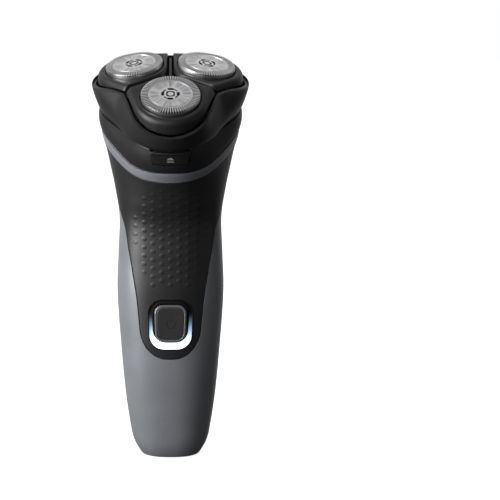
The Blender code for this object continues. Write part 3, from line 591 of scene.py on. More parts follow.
def panel_slab(outer_depth, inner_depth, margin, step, columns, rounded=0.0, relief=False):
    outer, inner = [], []
    rows = panel_rows(step)
    if rounded:
        rows = [PANEL_BOTTOM + 0.002, PANEL_BOTTOM + 0.01] + rows[:-1]
        rows += [PANEL_TOP - rounded * k for k in (0.75, 0.45, 0.2, 0.05)] + [PANEL_TOP]
    shares = span(-1, 1, columns)
    if rounded:
        extra = [1 - k for k in (0.0, 0.0015, 0.004, 0.009, 0.016)]
        shares = sorted([-t for t in extra] + [t for t in shares if abs(t) < 0.975] + extra)
    for height in rows:
        line, base = [], []
        for share in shares:
            level, turn, grown = panel_point(height, share, margin)
            depth = outer_depth
            if rounded:
                from_side = (1 - abs(share)) * grown * PANEL_MEAN_RADIUS
                depth += edge_drop(min(from_side, PANEL_TOP - height, height - PANEL_BOTTOM), rounded)
            point = skin(level, turn, depth)
            if relief and abs(point.x) < 15 and 67 < point.z < 116 and point.y < 0:
                depth -= dimple(point.x, point.z)
                point = skin(level, turn, depth)
            line.append(point)
            base.append(skin(level, turn, inner_depth))
        outer.append(line)
        inner.append(base)
    return pierced(outer, inner)


# --- head outlines ---------------------------------------------------------------------------


def at(level, where):
    return level(where) if callable(level) else level


def ring_round(radius_at, level):
    """Ring round the head's axis; its radius, and its level if that isn't fixed, go by the turn."""
    ring = []
    for i in range(HEAD_SIDES):
        turn = tau * i / HEAD_SIDES
        radius = radius_at(turn)
        ring.append(Vector((radius * sin(turn), -radius * cos(turn), at(level, turn))))
    return ring


def head_ring(level, section, inset=0.0):
    return ring_round(lambda turn: section_radius(turn, *section) - inset, level)


def lobe_outline(turn, radius, corner):
    turn = abs((degrees(turn) + 60) % 120 - 60)
    corner_x, corner_y = corner * cos(radians(60)), corner * sin(radians(60))
    reach = hypot(corner_x - UNIT_CIRCLE, corner_y)
    touch = atan2(corner_y, corner_x - UNIT_CIRCLE) - acos(radius / reach)
    touch_x, touch_y = UNIT_CIRCLE + radius * cos(touch), radius * sin(touch)
    direction = radians(turn)
    if direction <= atan2(touch_y, touch_x):
        across = UNIT_CIRCLE * sin(direction)
        return UNIT_CIRCLE * cos(direction) + sqrt(radius**2 - across**2)
    run_x, run_y = corner_x - touch_x, corner_y - touch_y
    t = (touch_x * sin(direction) - touch_y * cos(direction)) / (
        run_y * cos(direction) - run_x * sin(direction)
    )
    return hypot(touch_x + t * run_x, touch_y + t * run_y)


def petal_skirt_level(outward):
    return -3.6 - 3.2 * max(0.0, (outward - 14.0) / 16.0) ** 1.5


def gap_level(turn):
    local = radians((degrees(turn) + 60) % 120 - 60)
    outward = lobe_outline(turn, PETAL_R, PETAL_CORNER_R) * cos(local)
    return petal_skirt_level(outward) - (outward - UNIT_CIRCLE) * sin(radians(UNIT_LEAN)) - 0.2


def shell_edge(offset, drop):
    def radius(turn):
        return lobe_outline(turn, PETAL_R, PETAL_CORNER_R) + offset

    return ring_round(radius, lambda turn: gap_level(turn) - drop)


def relaxed(points, passes):
    """Closed ring of points with its corners eased."""
    for _ in range(passes):
        count = len(points)
        points = [(points[i - 1] + 2 * points[i] + points[(i + 1) % count]) / 4 for i in range(count)]
    return points


def between(first, second, share, bulge):
    """Ring between two rings, pushed outwards from the head's axis by the bulge."""
    ring = []
    for a, b in zip(first, second):
        point = a.lerp(b, share)
        flat = Vector((point.x, point.y, 0.0)).normalized()
        ring.append(point + flat * bulge * 4 * share * (1 - share))
    return ring


def petal_ring(inset, level, gaps, side_steps=22, arc_steps=44):
    corner = PETAL_CORNER_R - inset * 1.3
    radius = PETAL_R - inset
    sin60, cos60 = sin(radians(60)), cos(radians(60))
    points = []
    for side, gap in ((-1, gaps[0]), (1, gaps[1])):
        edge = gap + inset * (REAR_GAP_FLARE if gap == REAR_GAP else PETAL_GAP_FLARE)
        normal = (cos60 * edge, sin60 * edge)
        inner = 2.6 + inset * 1.2
        half = []
        for step in range(side_steps + 1):
            run = inner + (corner - inner) * step / side_steps
            half.append((run * sin60 - normal[0], run * cos60 + normal[1]))
        for step in range(1, arc_steps + 1):
            turn = radians(60) * (1 - step / arc_steps)
            if step == arc_steps and side > 0:
                continue
            reach = lobe_outline(turn, radius, corner)
            half.append((reach * sin(turn), reach * cos(turn)))
        half = [(side * x, out) for x, out in half]
        points += half if side < 0 else half[::-1]
    plan = relaxed([Vector((x, out, 0.0)) for x, out in points], 6)
    lean = radians(UNIT_LEAN)
    ring = []
    for x, out, _ in plan:
        height = at(level, out)
        ring.append(Vector((x, (UNIT_CIRCLE + height * sin(lean) - out) / cos(lean), height)))
    return ring


def petal_bore(radius, level, template):
    ring = []
    for x, y, _ in template:
        scale = radius / hypot(x, y)
        ring.append(Vector((x * scale, y * scale, level)))
    return ring


def unit_frame(azimuth):
    turn = Matrix.Rotation(radians(azimuth), 4, "Z")
    lean = Matrix.Rotation(radians(UNIT_LEAN), 4, "X")
    return HEAD @ turn @ Matrix.Translation((0, -UNIT_CIRCLE, 0)) @ lean


# --- pieces ----------------------------------------------------------------------------------


def build_shells():
    rows = [0, 0.15, 0.4, 0.8, 1.4, 2.2, 3, 4, 5, 6.2, 7.5, 9]
    rows += span(11, HANDLE_TOP, 90)
    turns = [tau * i / 160 for i in range(160)]

    def follow(height, turn):
        return height + (1.12 * seam(turn) + 0.3) * smooth(height, 108.0, HANDLE_TOP)

    outer = [[skin(follow(height, turn), turn, edge_drop(height, 0.5)) for turn in turns] for height in rows]
    inner_rows = [FLOOR] + [height for height in rows if height > 3][::3]
    if inner_rows[-1] != HANDLE_TOP:
        inner_rows.append(HANDLE_TOP)
    inner = [[skin(follow(height, turn), turn, WALL) for turn in turns] for height in inner_rows]
    line = [(-6.0, 3.0), (40.0, 3.0), (70.0, 3.0), (92.0, 4.0), (108.0, 8.6), (122.0, 11.0), (150.0, 10.5)]
    heights = [-5.0] + span(40, 149, 50)
    turn_over = Matrix(((0, 0, 1), (1, 0, 0), (0, 1, 0))).to_4x4()
    for name, sign in (("front_shell", -1), ("rear_shell", 1)):
        shell = piece(name + "_skin", loft(outer + inner[::-1]), "grey_body", "handle", (name,))
        outline = [(hermite(line, z)[0] + sign * GAP / 2, z) for z in heights]
        outline += [(45.0 * -sign, heights[-1]), (45.0 * -sign, heights[0])]
        half = prism(outline if sign > 0 else outline[::-1], -40, 40)
        cut(shell, half, place=turn_over)
        cut(shell, block((-5.2, 1.7, -2), (5.2, 7.3, 5)))
        if sign < 0:
            cut(shell, panel_slab(-2.0, WALL + 1.5, GAP, 1.6, 60))
            for side in (-1, 1):
                hole = lathe(((2.3, -2), (2.3, 1.3), (1.2, 1.3), (1.2, 4)), 40)
                cut(shell, hole, place=Matrix.Translation((7.6 * side, -2.5, 0)))
        else:
            half_width = TRIMMER_HALF + 0.4
            cut(shell, block((-half_width, 5, 81.7), (half_width, 25, 112.2)))
            cut(shell, block((-5.4, 8, 57.6), (5.4, 25, 74.5)))
    for side in (-1, 1):
        key = block((6.6 * side - 1.2, 2.2, 0.8), (6.6 * side + 1.2, 3.8, 2.0))
        piece(f"seam_key_{'left' if side < 0 else 'right'}", key, "grey_body", "handle")


def build_panel():
    step, columns = ((0.3, 220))
    slab = panel_slab(0.0, WALL, 0.0, step, columns, 0.3, True)
    panel = piece("front_panel_skin", slab, "black_panel", "handle", ("front_panel",), sharp=50)
    outline = rounded_rectangle(*RING_HOLE, 5.4, (0, RING_CENTRE), 12, 0.035, 0.012)
    cut(panel, along_front(prism(outline, 8, 22)))
    add_lip(outline)


def add_lip(outline):
    """Thin bead that follows the panel's surface round the recess."""
    count = len(outline)
    rings = []
    for k in range(8):
        angle = tau * k / 8
        ring = []
        for i, (x, z) in enumerate(outline):
            before, after = outline[i - 1], outline[(i + 1) % count]
            tangent = Vector((after[0] - before[0], 0, after[1] - before[1])).normalized()
            turn = azimuth_at(z, x, rear=False) if abs(x) > 1e-6 else 0.0
            surface = skin(z, turn, 0.08)
            outward = Vector((tangent.z, 0, -tangent.x))
            forward = Vector((0, -1, 0))
            ring.append(surface + outward * 0.22 * cos(angle) + forward * 0.16 * sin(angle))
        rings.append(ring)
    # the bead is coloured deep black as painted shade on the recess's shadowed wall
    piece("recess_lip", loft(rings, closed=True), "black_gloss", "handle", sharp=80, material=SHADE_AND_MARK_BLACK)


def front_depth(x, z):
    """How far the handle's front surface stands before the middle plane."""
    return -skin(z, azimuth_at(z, x, rear=False) if abs(x) > 1e-6 else 0.0).y


def recess_band(outer, inner, steps, floor):
    """Ring between two outlines. Each step is a share of the way inwards and a depth under the surface."""
    top, base = [], []
    for share, sunk in steps:
        line = [(a[0] + (b[0] - a[0]) * share, a[1] + (b[1] - a[1]) * share) for a, b in zip(outer, inner)]
        top.append([(x, z, front_depth(x, z) - sunk) for x, z in line])
        base.append([(x, z, floor) for x, z in line])
    return along_front(pierced(top, base, wrap=True))


# inset from the button's outline, and distance before the middle plane: side, rounded frame, dished face
BUTTON_PROFILE = ((0.25, 13.6), (0.0, 15.0), (0.0, 16.28), (0.05, 16.38), (0.25, 16.52), (0.48, 16.65))
BUTTON_PROFILE += ((0.58, 16.68), (0.66, 16.66), (0.74, 16.56), (0.8, 16.46), (0.92, 16.45), (1.0, 16.52))
BUTTON_PROFILE += ((1.1, 16.55), (1.6, 16.55), (2.6, 16.52), (4.0, 16.5), (5.2, 16.49))
SIGN_LOW, SIGN_HIGH = 16.48, 16.62


def build_button():
    count = 160
    hole = rounded_rectangle(RING_HOLE[0] - 0.3, RING_HOLE[1] - 0.3, 5.3, (0, RING_CENTRE), 12, 0.035, 0.012)
    hole = resampled(hole, count)
    skirt = resampled(rounded_rectangle(14.0, 16.6, 4.6, (0, 57.45), 12, 0.065, 0.015), count)
    width, height = (side + 0.4 for side in BUTTON_SIZE)
    well = rounded_rectangle(width, height, 3.3, (0, BUTTON_CENTRE), 12, 0.045, 0.015)
    well = resampled(well, count)
    glow = recess_band(hole, skirt, ((0.0, 0.62), (0.3, 0.5), (0.7, 0.5), (1.0, 0.56)), 13.2)
    piece("light_guide_ring", glow, "light", "handle", ("light_guide",))
    steps = ((0.0, 0.85), (0.04, 0.5), (0.12, 0.34), (0.3, 0.26))
    steps += ((0.7, 0.26), (0.88, 0.34), (0.97, 0.55), (1.0, 0.9))
    # the recess wall round the button is real black plastic, coloured deep matte black as painted shade
    piece("button_frame", recess_band(skirt, well, steps, 13.0), "black_gloss", "handle", material=SHADE_AND_MARK_BLACK)

    rings = []
    for inset, depth in BUTTON_PROFILE:
        width, height = (side - 2 * inset for side in BUTTON_SIZE)
        radius = max(0.5, 3.1 - 0.75 * inset)
        radius = min(radius, width / 2 - 0.05)
        outline = rounded_rectangle(width, height, radius, (0, BUTTON_CENTRE), 10, 0.045, 0.015)
        rings.append([(x, z, depth) for x, z in resampled(outline, count)])
    cap = along_front(loft(rings))
    name = "power_button"
    piece(name + "_cap", cap, "black_gloss", name, (name,), sharp=60, material=BUTTON)

    # power sign: an open ring with a bar in its gap
    arc = []
    turns = span(0.55, tau - 0.55, 48)
    for radius in (1.5, 1.85):
        arc.append([(radius * sin(t), BUTTON_CENTRE - 0.1 + radius * cos(t)) for t in turns])
    sign = strip(arc, SIGN_LOW, SIGN_HIGH)
    piece("power_sign_ring", along_front(sign), "black_gloss", "power_button", material=SIGN)
    bar = prism(rounded_rectangle(0.36, 1.7, 0.17, (0, BUTTON_CENTRE + 1.3), 4), SIGN_LOW, SIGN_HIGH)
    piece("power_sign_bar", along_front(bar), "black_gloss", "power_button", material=SIGN)


def strip(lines, low, high):
    """Flat band between two lines of (x, y) points."""
    top = [[(x, y, high) for x, y in line] for line in lines]
    base = [[(x, y, low) for x, y in line] for line in lines]
    return pierced(top, base)


def resampled(outline, count):
    """The outline as points at equal angles about its middle, starting on +Y."""
    cx = sum(x for x, _ in outline) / len(outline)
    low = min(y for _, y in outline)
    cy = (low + max(y for _, y in outline)) / 2
    from_middle = [(x - cx, y - cy) for x, y in outline]
    polar = sorted((atan2(x, y) % tau, hypot(x, y)) for x, y in from_middle)
    (first, start), (last, end) = polar[0], polar[-1]
    polar = [(last - tau, end)] + polar + [(first + tau, start)]
    points, k = [], 0
    for i in range(count):
        turn = tau * i / count
        while polar[k + 1][0] < turn:
            k += 1
        (a, low_r), (b, high_r) = polar[k], polar[k + 1]
        t = (turn - a) / (b - a) if b > a else 0.0
        radius = low_r + (high_r - low_r) * t
        points.append((cx + radius * sin(turn), cy + radius * cos(turn)))
    return points


def build_collar():
    def above_seam(level):
        return lambda turn: seam(turn) + level

    low, mid, top = COLLAR_LOW_SECTION, COLLAR_MID_SECTION, COLLAR_TOP_SECTION
    tuck = ((COLLAR_LOW, low, 0.9), (-26.9, low, 0.85), (-26.7, low, 0.7))
    tuck += ((-26.5, mid, 0.22), (-26.2, mid, 0.05), (-25.8, mid, 0.0))
    rings = [head_ring(above_seam(level), section, inset) for level, section, inset in tuck]
    lower, upper = rings[-1], head_ring(-18.6, top, 0.55)
    rings += [between(lower, upper, k / 8, 0.42) for k in range(1, 8)] + [upper]
    # rounded upper edge, then down the inside
    edge = ((-18.15, 0.6), (-17.98, 0.7), (COLLAR_TOP, 0.9), (COLLAR_TOP, 1.9))
    rings += [head_ring(level, top, inset) for level, inset in edge]
    rings += [head_ring(-25.0, mid, 1.9), head_ring(above_seam(COLLAR_LOW), low, 2.6)]
    skin_mesh = loft(rings, closed=True)
    collar = piece("neck_collar_skin", skin_mesh, "black_body", "handle", ("neck_collar",), HEAD)
    outline = [(-7.8, -10), (7.8, -10), (7.75, -18.0), (6.75, -24.1), (-6.75, -24.1), (-7.75, -18.0)]
    cut(collar, along_front(prism(outline, 22, 40)), place=HEAD)


def build_locating_lip():
    """Low wall on the collar that centres the closed head and hides the gap under it; it is coloured deep
    black as painted shade in that gap.
    """
    wall = ((-18.5, 2.1), (-17.0, 2.1), (-16.85, 2.25), (-16.85, 2.6), (-17.0, 2.7), (-18.5, 2.7))
    rings = [head_ring(level, RIM_SECTION, inset) for level, inset in wall]
    lip = piece("locating_lip", loft(rings, closed=True), "black_body", "handle", (), HEAD, material=SHADE_AND_MARK_BLACK)
    cut(lip, block((-9, -40, -30), (9, -20, 0)), place=HEAD)


RELEASE_BOTTOM, RELEASE_TOP, RELEASE_EDGE, RELEASE_RECESS = -23.8, -18.35, 0.3, 0.32
SPRING_RADIUS, SPRING_WIRE, SPRING_FRONT, SPRING_LENGTH, SPRING_LEVEL = 0.72, 0.2, -22.0, 3.3, -20.8


def release_front(level, x=0.0):
    """How far the release button's face stands before the head's axis."""
    return (27.4 + (level + 18) * 0.06) * sqrt(1 - (x / 28.0) ** 2)


def build_release_button():
    levels = [-23.75, -23.72, -23.6, -23.4, -23.0, -22.0, -21.0, -20.0]
    levels += [-19.3, -19.15, -19.0, -18.8, -18.65, -18.5, -18.4, -18.35]
    face, back = [], []
    for level in levels:
        half = 6.5 + 1.05 * (level - RELEASE_BOTTOM) / (RELEASE_TOP - RELEASE_BOTTOM)
        line, rear = [], []
        for x in marks(half, RELEASE_EDGE, 27):
            front = release_front(level, x) + 0.35
            drop = edge_drop(min(half - abs(x), level + 23.78), RELEASE_EDGE)
            # thumb ledge along the upper edge, and the face set back below it
            ledge = smooth(level, -19.3, -19.0)
            top = edge_drop(-18.34 - level, 0.5)
            line.append((x, -(front - RELEASE_RECESS * (1 - ledge) - drop - top), level))
            rear.append((x, -25.6, level))
        face.append(line)
        back.append(rear)
    name = "release_button"
    piece(name + "_cap", pierced(face, back), "black_body", name, (name,), HEAD)
    tongue = block((-3, -26.2, -21.4), (3, -22.4, -20.2))
    piece("release_tongue", tongue, "black_body", name, (), HEAD)
    # return spring behind the tongue
    rings = []
    turns, steps = 4, 24
    for i in range(turns * steps + 1):
        turn = tau * i / steps
        along = SPRING_FRONT + SPRING_LENGTH * i / (turns * steps)
        outward, inward = Vector((cos(turn), 0, sin(turn))), Vector((0, 1, 0))
        centre = SPRING_RADIUS * outward + Vector((0, along, SPRING_LEVEL))
        around = (tau * k / 8 for k in range(8))
        rings.append([centre + SPRING_WIRE * (cos(a) * outward + sin(a) * inward) for a in around])
    spring = piece("release_coil", loft(rings), "steel", "handle", ("release_spring",), HEAD)
    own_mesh(spring)
    for name, outline in (
        ("release_sign_triangle", [(-1.3, -21.35), (1.3, -21.35), (0.0, -19.95)]),
        ("release_sign_bar", [(-1.3, -22.4), (1.3, -22.4), (1.3, -22.0), (-1.3, -22.0)]),
    ):
        level = sum(z for _, z in outline) / len(outline)
        front = release_front(level) + 0.03
        mark = along_front(prism(outline, front - 0.06, front + 0.03))
        piece(name, mark, "black_body", "release_button", (), HEAD, material=MARK)


def build_head_shell():
    def crest_level(turn):
        return -9.8 - 4.9 * smooth(cos(turn), 0.15, 0.95) - 0.8 * smooth(-cos(turn), 0.3, 1.0)

    # each profile runs from the rim round the crest to the petals; the crest is tight only at the front
    rim = head_ring(RIM + 0.15, RIM_SECTION, -0.1)
    crest = head_ring(crest_level, SHOULDER_SECTION, 0.2)
    edge = shell_edge(1.9, 0.62)
    rings = [head_ring(RIM, RIM_SECTION, 0.3), head_ring(RIM, RIM_SECTION, 0.05)]
    for step in range(19):
        share = step / 18
        ring = []
        for i, (low, peak, high) in enumerate(zip(rim, crest, edge)):
            weight = 0.9 + 2.6 * smooth(cos(tau * i / len(rim)), 0.75, 0.98)
            control = (peak * (1 + weight) - (low + high) / 2) / weight
            a, b, c = (1 - share) ** 2, 2 * weight * share * (1 - share), share**2
            ring.append((low * a + control * b + high * c) / (a + b + c))
        rings.append(ring)
    lip = ((1.35, 0.4), (1.0, 0.24), (0.8, 0.26), (0.68, 0.42), (0.65, 0.7), (0.65, 1.3))
    rings += [shell_edge(offset, drop) for offset, drop in lip]
    rings += [head_ring(-11.6, SHOULDER_SECTION, 1.9), head_ring(RIM, RIM_SECTION, 1.7)]
    rings = [relaxed(ring, 3) for ring in rings]
    shell = piece("head_shell_skin", loft(rings, closed=True), "black_body", "head", ("head_shell",), HEAD)
    steps = ((8.7, -20.0), (8.7, -15.8), (5.3, -15.8), (5.3, -13.0))
    outline = list(steps) + [(-x, z) for x, z in reversed(steps)]
    cut(shell, along_front(prism(outline, -31, -19.5)), place=HEAD)


def build_petal(side, azimuth):
    gaps = (REAR_GAP if side == "left" else PETAL_GAP, REAR_GAP if side == "right" else PETAL_GAP)
    bore = GUARD_R + 0.35

    def wall_level(share):
        """Level that runs from just under the plateau to the skirt's lower edge."""
        return lambda out: (PETAL_TOP - 1.4) * (1 - share) + petal_skirt_level(out) * share

    skirt = petal_ring(0.0, petal_skirt_level, gaps)
    rim = ((0.0, 1.5), (0.0, 0.35), (0.08, 0.12), (0.25, 0.0))
    rings = [petal_bore(bore + out, PETAL_TOP - drop, skirt) for out, drop in rim]
    shoulder = ((2.0, 0.0), (1.55, 0.05), (1.2, 0.16), (0.9, 0.36), (0.62, 0.66), (0.38, 1.0))
    rings += [petal_ring(inset, PETAL_TOP - drop, gaps) for inset, drop in shoulder]
    wall = ((0.2, 0.0), (0.12, 0.3), (0.05, 0.7), (0.0, 0.93))
    rings += [petal_ring(inset, wall_level(share), gaps) for inset, share in wall]
    rings += [petal_ring(inset, petal_skirt_level, gaps) for inset in (0.06, 0.6)]
    rings.append(petal_ring(0.75, PETAL_TOP - 1.6, gaps))
    name = f"petal_{side}"
    piece(name + "_cap", loft(rings, closed=True), "black_body", name, (name,), unit_frame(azimuth), sharp=50)


SLOTS = 68
SLOT_CELLS = 5


def build_guard(side, azimuth):
    """Ground steel cap whose outer track and rim are cut by radial slots."""
    profile = [(0.0, 0.02), (1.5, 0.02), (3.0, 0.02), (4.05, 0.02), (4.2, 0.0), (4.28, -0.05)]
    profile += [(4.4, -0.06), (4.8, -0.06), (5.3, -0.05), (5.9, -0.04), (6.5, -0.02), (7.1, 0.0)]
    profile += [(7.35, 0.01), (7.5, -0.04), (7.56, -0.2), (7.8, -0.2), (7.86, -0.04)]
    first_slot = len(profile)
    profile += [(8.1, 0.01), (8.8, 0.01), (9.5, 0.0), (10.2, -0.01), (10.55, -0.05), (10.78, -0.17)]
    profile += [(10.88, -0.38), (GUARD_R, -0.7), (GUARD_R, -1.25)]
    last_slot = len(profile) - 2
    profile += [(GUARD_R, -1.5), (GUARD_R - 0.02, -2.4), (GUARD_R, -3.4), (GUARD_R, -3.7)]
    profile += [(11.2, -3.75), (11.4, -3.85), (11.4, -4.5)]
    columns = SLOTS * SLOT_CELLS
    outer, inner = [], []
    thickness = 0.16
    for i, (radius, level) in enumerate(profile):
        before, after = profile[max(i - 1, 0)], profile[min(i + 1, len(profile) - 1)]
        run, fall = after[0] - before[0], after[1] - before[1]
        length = hypot(run, fall)
        inside = (radius + fall / length * thickness, level - run / length * thickness)
        line, base = [], []
        for j in range(columns):
            turn = tau * j / columns
            fine = 0.04 if 5.2 < radius < 7.2 and (j // 3) % 2 else 0.0
            for points, r, z in ((line, radius, level - fine), (base, *inside)):
                r = max(r, 0.02)
                points.append((r * sin(turn), -r * cos(turn), z))
        outer.append(line)
        inner.append(base)

    def slot(i, j):
        return first_slot <= i < last_slot and j % SLOT_CELLS in (1, 2, 3)

    name = f"guard_{side}"
    place = unit_frame(azimuth)
    cap = pierced(outer, inner, slot, wrap=True)
    piece(name + "_cap", cap, "shaving_steel", name, (name,), place, sharp=30, material=GUARD[side])

    # deep black ring under the slotted track, riding with the guard: painted shade where little light gets in
    # under the guard
    painted_shade_ring = [(7.95, -0.24), (10.1, -0.24), (10.5, -0.36), (10.66, -0.62), (10.68, -1.75), (10.15, -1.75)]
    painted_shade_ring += [(10.15, -0.95), (7.95, -0.95)]
    piece(name + "_painted_shade_ring", lathe(painted_shade_ring, 96, closed=True), "black_body", name, (), place, material=SHADE_AND_MARK_BLACK)

    # drive cap in the middle: a rounded square ring, four blocks and the arcs between them
    def plot(label, lines):
        piece(f"{name}_{label}", strip(lines, -0.03, 0.045), "shaving_steel", name, (), place, material=SHADE_AND_MARK_BLACK)

    square = [resampled(rounded_rectangle(size, size, size * 0.3, steps=6), 48) for size in (2.0, 3.2)]
    plot("square", [line + line[:1] for line in square])
    for k in range(4):
        middle = pi / 2 * k
        block_ends, arc_ends = (-0.34, 0.34), (0.34, pi / 2 - 0.62)
        for label, radii, (start, end) in (("block", (2.3, 3.4), block_ends), ("arc", (2.6, 3.1), arc_ends)):
            turns = span(middle + start, middle + end, 9)
            plot(f"{label}_{k}", [[(radius * sin(t), radius * cos(t)) for t in turns] for radius in radii])


def guard_material(side, azimuth):
    """Ground steel whose fine lines run round the guard's own axis."""
    s = Surface(f"guard_steel_{side}", (0.74, 0.74, 0.75), 1.0)
    place = unit_frame(azimuth)
    mapping = s.nodes.new("ShaderNodeMapping")
    mapping.vector_type = "TEXTURE"
    mapping.inputs["Location"].default_value = place.translation * MM
    mapping.inputs["Rotation"].default_value = place.to_euler()
    s.links.new(s.where, mapping.inputs["Vector"])
    x, y, z = s.split(mapping.outputs["Vector"])
    radius = s.math("SQRT", s.math("ADD", s.product(x, x), s.product(y, y)))
    turn = s.math("ARCTAN2", y, x)
    rings = s.noise(700.0, 4.0, 0.75, s.join(s.product(radius, 14.0), s.product(turn, 0.004), z))
    spokes = s.noise(190.0, 4.0, 0.7, s.join(s.product(turn, 0.035), s.product(radius, 0.12)))
    cone = s.product(s.spread(radius, 0.0042, 0.0045), s.spread(radius, 0.0074, 0.0076, 1.0, 0.0))
    cloud = s.noise(160.0, 3.0)
    track = s.spread(radius, 0.0077, 0.0081)
    base = s.mix(s.vary(rings), (0.46, 0.46, 0.47), (0.78, 0.78, 0.79))
    # annulus: real radial grind lines, with their tone swung from dark to bright as painted reflection fans
    painted_fans = s.mix(s.spread(spokes, 0.35, 0.65), (0.2, 0.2, 0.21), (0.78, 0.78, 0.79))
    base = s.mix(s.product(cone, 0.85), base, painted_fans)
    base = s.mix(s.product(track, 0.3), base, (0.45, 0.45, 0.46))
    base = s.mix(s.wear(), base, (0.95, 0.95, 0.95))
    rough = s.math("ADD", s.vary(rings, 0.28, 0.42), s.vary(cloud, -0.04, 0.04))
    s.bump(rings, 0.000004)
    s.bump(s.product(spokes, cone), 0.00008)
    return s.done(base, rough)


def button_material():
    """Matte dished face inside a glossy rounded frame, whose lighter grey base is a painted highlight on its
    bevel.
    """
    s = Surface("button_black", (0.012, 0.012, 0.013))
    x, _, z = s.split()
    u = s.math("DIVIDE", s.math("ABSOLUTE", x), 0.0052)
    v = s.math("DIVIDE", s.math("ABSOLUTE", s.math("SUBTRACT", z, BUTTON_CENTRE * MM)), 0.00635)
    far = s.math("ADD", s.math("POWER", u, 5.0), s.math("POWER", v, 5.0))
    frame_share = s.spread(far, 0.9, 1.15)
    speck = s.noise(2600.0, 2.0)
    base = s.mix(s.vary(speck), (0.014, 0.014, 0.015), (0.02, 0.02, 0.021))
    # the frame's lighter grey base is a painted highlight along the bevel
    base = s.mix(frame_share, base, (0.09, 0.09, 0.092))
    rough = s.math("ADD", s.product(frame_share, -0.22), s.vary(speck, 0.36, 0.46))
    s.bump(speck, 0.000015)
    return s.done(base, rough)


GUARD = {side: guard_material(side, azimuth) for side, azimuth in UNIT_AZIMUTHS.items()}
BUTTON = button_material()
SIGN = moulded("sign_gloss", (0.016, 0.016, 0.017), 0.3, 2000.0, 0.000004)


def build_trimmer():
    def ribs(x, height):
        rib = sin((height - 96.0) / 1.25 * pi) ** 2
        ends = smooth(height, 96, 97.2) * smooth(104.0 - height, 0, 1.2)
        return 0.28 * rib * smooth(9.2 - abs(x), 0, 1.5) * ends

    y, z = TRIMMER_HINGE
    arm = rear_slab(TRIMMER_HALF, z, TRIMMER_TOP, 0.0, 1.9, 36, 70, 0.4, ribs)
    arm = piece("trimmer_arm_cap", arm, "grey_body", "trimmer", ("trimmer_arm",), sharp=50)
    turn = Matrix.Translation((0, y, z)) @ Matrix.Rotation(pi / 2, 4, "Y")
    barrel = [(0.67, -TRIMMER_HALF), (1.2, -TRIMMER_HALF), (1.4, -TRIMMER_HALF + 0.2)]
    barrel += [(1.4, TRIMMER_HALF - 0.2), (1.2, TRIMMER_HALF), (0.67, TRIMMER_HALF)]
    piece("trimmer_barrel", lathe(barrel, 48, closed=True), "grey_body", "trimmer", (), turn)

    def grip(x, height):
        rib = cos((height - 64.0) / 1.5 * pi) ** 2
        ends = smooth(height, 59.2, 60) * smooth(68.8 - height, 0, 0.8)
        return 0.3 * rib * smooth(4.3 - abs(x), 0, 0.8) * ends

    knob = rear_slab(5.0, 58.0, 70.0, -0.9, 2.3, 24, 60, 0.5, grip)
    piece("trimmer_slider_knob", knob, "black_body", "trimmer_slider", ("trimmer_slider",), sharp=50)
    plate = rear_slab(7.0, 54.0, 77.5, 2.0, 2.9, 12, 12, 0.2)
    piece("trimmer_slider_plate", plate, "black_body", "trimmer_slider")


def finish_cad_nodes():
    """Every solid that still shows gets its procedural material."""
    slots = {entry["node"]: entry["material_slot"] for entry in frame["record"]["subparts"]}
    for name, node in frame["nodes"].items():
        node.data.materials.clear()
        node.data.materials.append(MATERIALS[slots[name]])


def build_stage():
    bm = bmesh.new()
    bmesh.ops.create_grid(bm, x_segments=2, y_segments=2, size=6.0)
    floor = linked("floor", stored("floor", bm))
    floor.location.z = -0.0002
    s = Surface("pale_floor", (0.9, 0.9, 0.9))
    s.shader.inputs["Emission Color"].default_value = (1, 1, 1, 1)
    far = s.nodes.new("ShaderNodeVectorMath")
    far.operation = "LENGTH"
    s.links.new(s.where, far.inputs[0])
    s.links.new(s.spread(far.outputs["Value"], 0.06, 0.3, 0.86, 1.0), s.shader.inputs["Emission Strength"])
    cloud = s.noise(3.0, 2.0)
    floor.data.materials.append(s.done(s.mix(cloud, (0.48, 0.48, 0.48), (0.52, 0.52, 0.52)), 0.9))
    floor.visible_glossy = False
    floor.visible_diffuse = False
    floor.visible_shadow = False


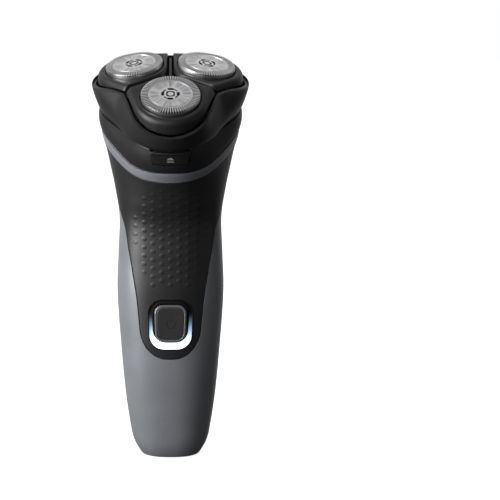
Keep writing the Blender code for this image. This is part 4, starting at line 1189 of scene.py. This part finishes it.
def build_world():
    """White behind the object; as a light, dim in front and below, bright above and behind."""
    world = bpy.data.worlds.new("studio")
    bpy.context.scene.world = world
    world.use_nodes = True
    nodes, links = world.node_tree.nodes, world.node_tree.links
    background = nodes["Background"]
    background.inputs["Color"].default_value = (1, 1, 1, 1)
    facing = nodes.new("ShaderNodeVectorMath")
    facing.operation = "DOT_PRODUCT"
    facing.inputs[1].default_value = (0.0, 0.8, 0.6)
    links.new(nodes.new("ShaderNodeTexCoord").outputs["Generated"], facing.inputs[0])
    level = nodes.new("ShaderNodeMapRange")
    level.interpolation_type = "SMOOTHSTEP"
    preset(level, {"From Min": 0.1, "From Max": 1.0, "To Min": AMBIENT_FRONT, "To Max": AMBIENT_BACK})
    links.new(facing.outputs["Value"], level.inputs["Value"])
    seen = nodes.new("ShaderNodeMix")
    links.new(nodes.new("ShaderNodeLightPath").outputs["Is Camera Ray"], seen.inputs["Factor"])
    links.new(level.outputs["Result"], seen.inputs["A"])
    seen.inputs["B"].default_value = 1.0
    links.new(seen.outputs["Result"], background.inputs["Strength"])


AMBIENT_FRONT, AMBIENT_BACK = 0.05, 0.85
# name, place, aim, width, height, power in watts
LIGHTS = (
    ("key_left", (-0.725, -0.385, 0.305), (0.0, 0.0, 0.085), 0.4, 0.8, 16.6),
    ("front_fill", (-0.42, -0.79, 0.3), (0.0, 0.0, 0.085), 0.75, 0.42, 2.5),
    ("right_fill", (0.75, -0.28, 0.15), (0.0, 0.0, 0.09), 0.6, 0.7, 0.35),
)


def build_lights():
    for name, place, aim, width, height, power in LIGHTS:
        data = bpy.data.lights.new(name, "AREA")
        data.shape = "RECTANGLE"
        data.size, data.size_y, data.energy = width, height, power
        light = linked(name, data)
        light.location = place
        light.rotation_euler = (Vector(aim) - Vector(place)).to_track_quat("-Z", "Y").to_euler()


def build_camera():
    data = bpy.data.cameras.new("camera")
    data.lens = 90.0
    data.sensor_width = 36.0
    data.shift_x = 0.159
    camera = linked("camera", data)
    camera.location = (0.0, -0.4863, 0.1685)
    camera.rotation_euler = (radians(80.0), 0.0, 0.0)
    bpy.context.scene.camera = camera


def main():
    bpy.context.scene.view_settings.view_transform = "Standard"
    finish_cad_nodes()
    build_shells()
    build_panel()
    build_button()
    build_collar()
    build_locating_lip()
    build_release_button()
    build_head_shell()
    for side, azimuth in UNIT_AZIMUTHS.items():
        build_petal(side, azimuth)
        build_guard(side, azimuth)
    build_trimmer()
    build_stage()
    build_world()
    build_lights()
    build_camera()


main()
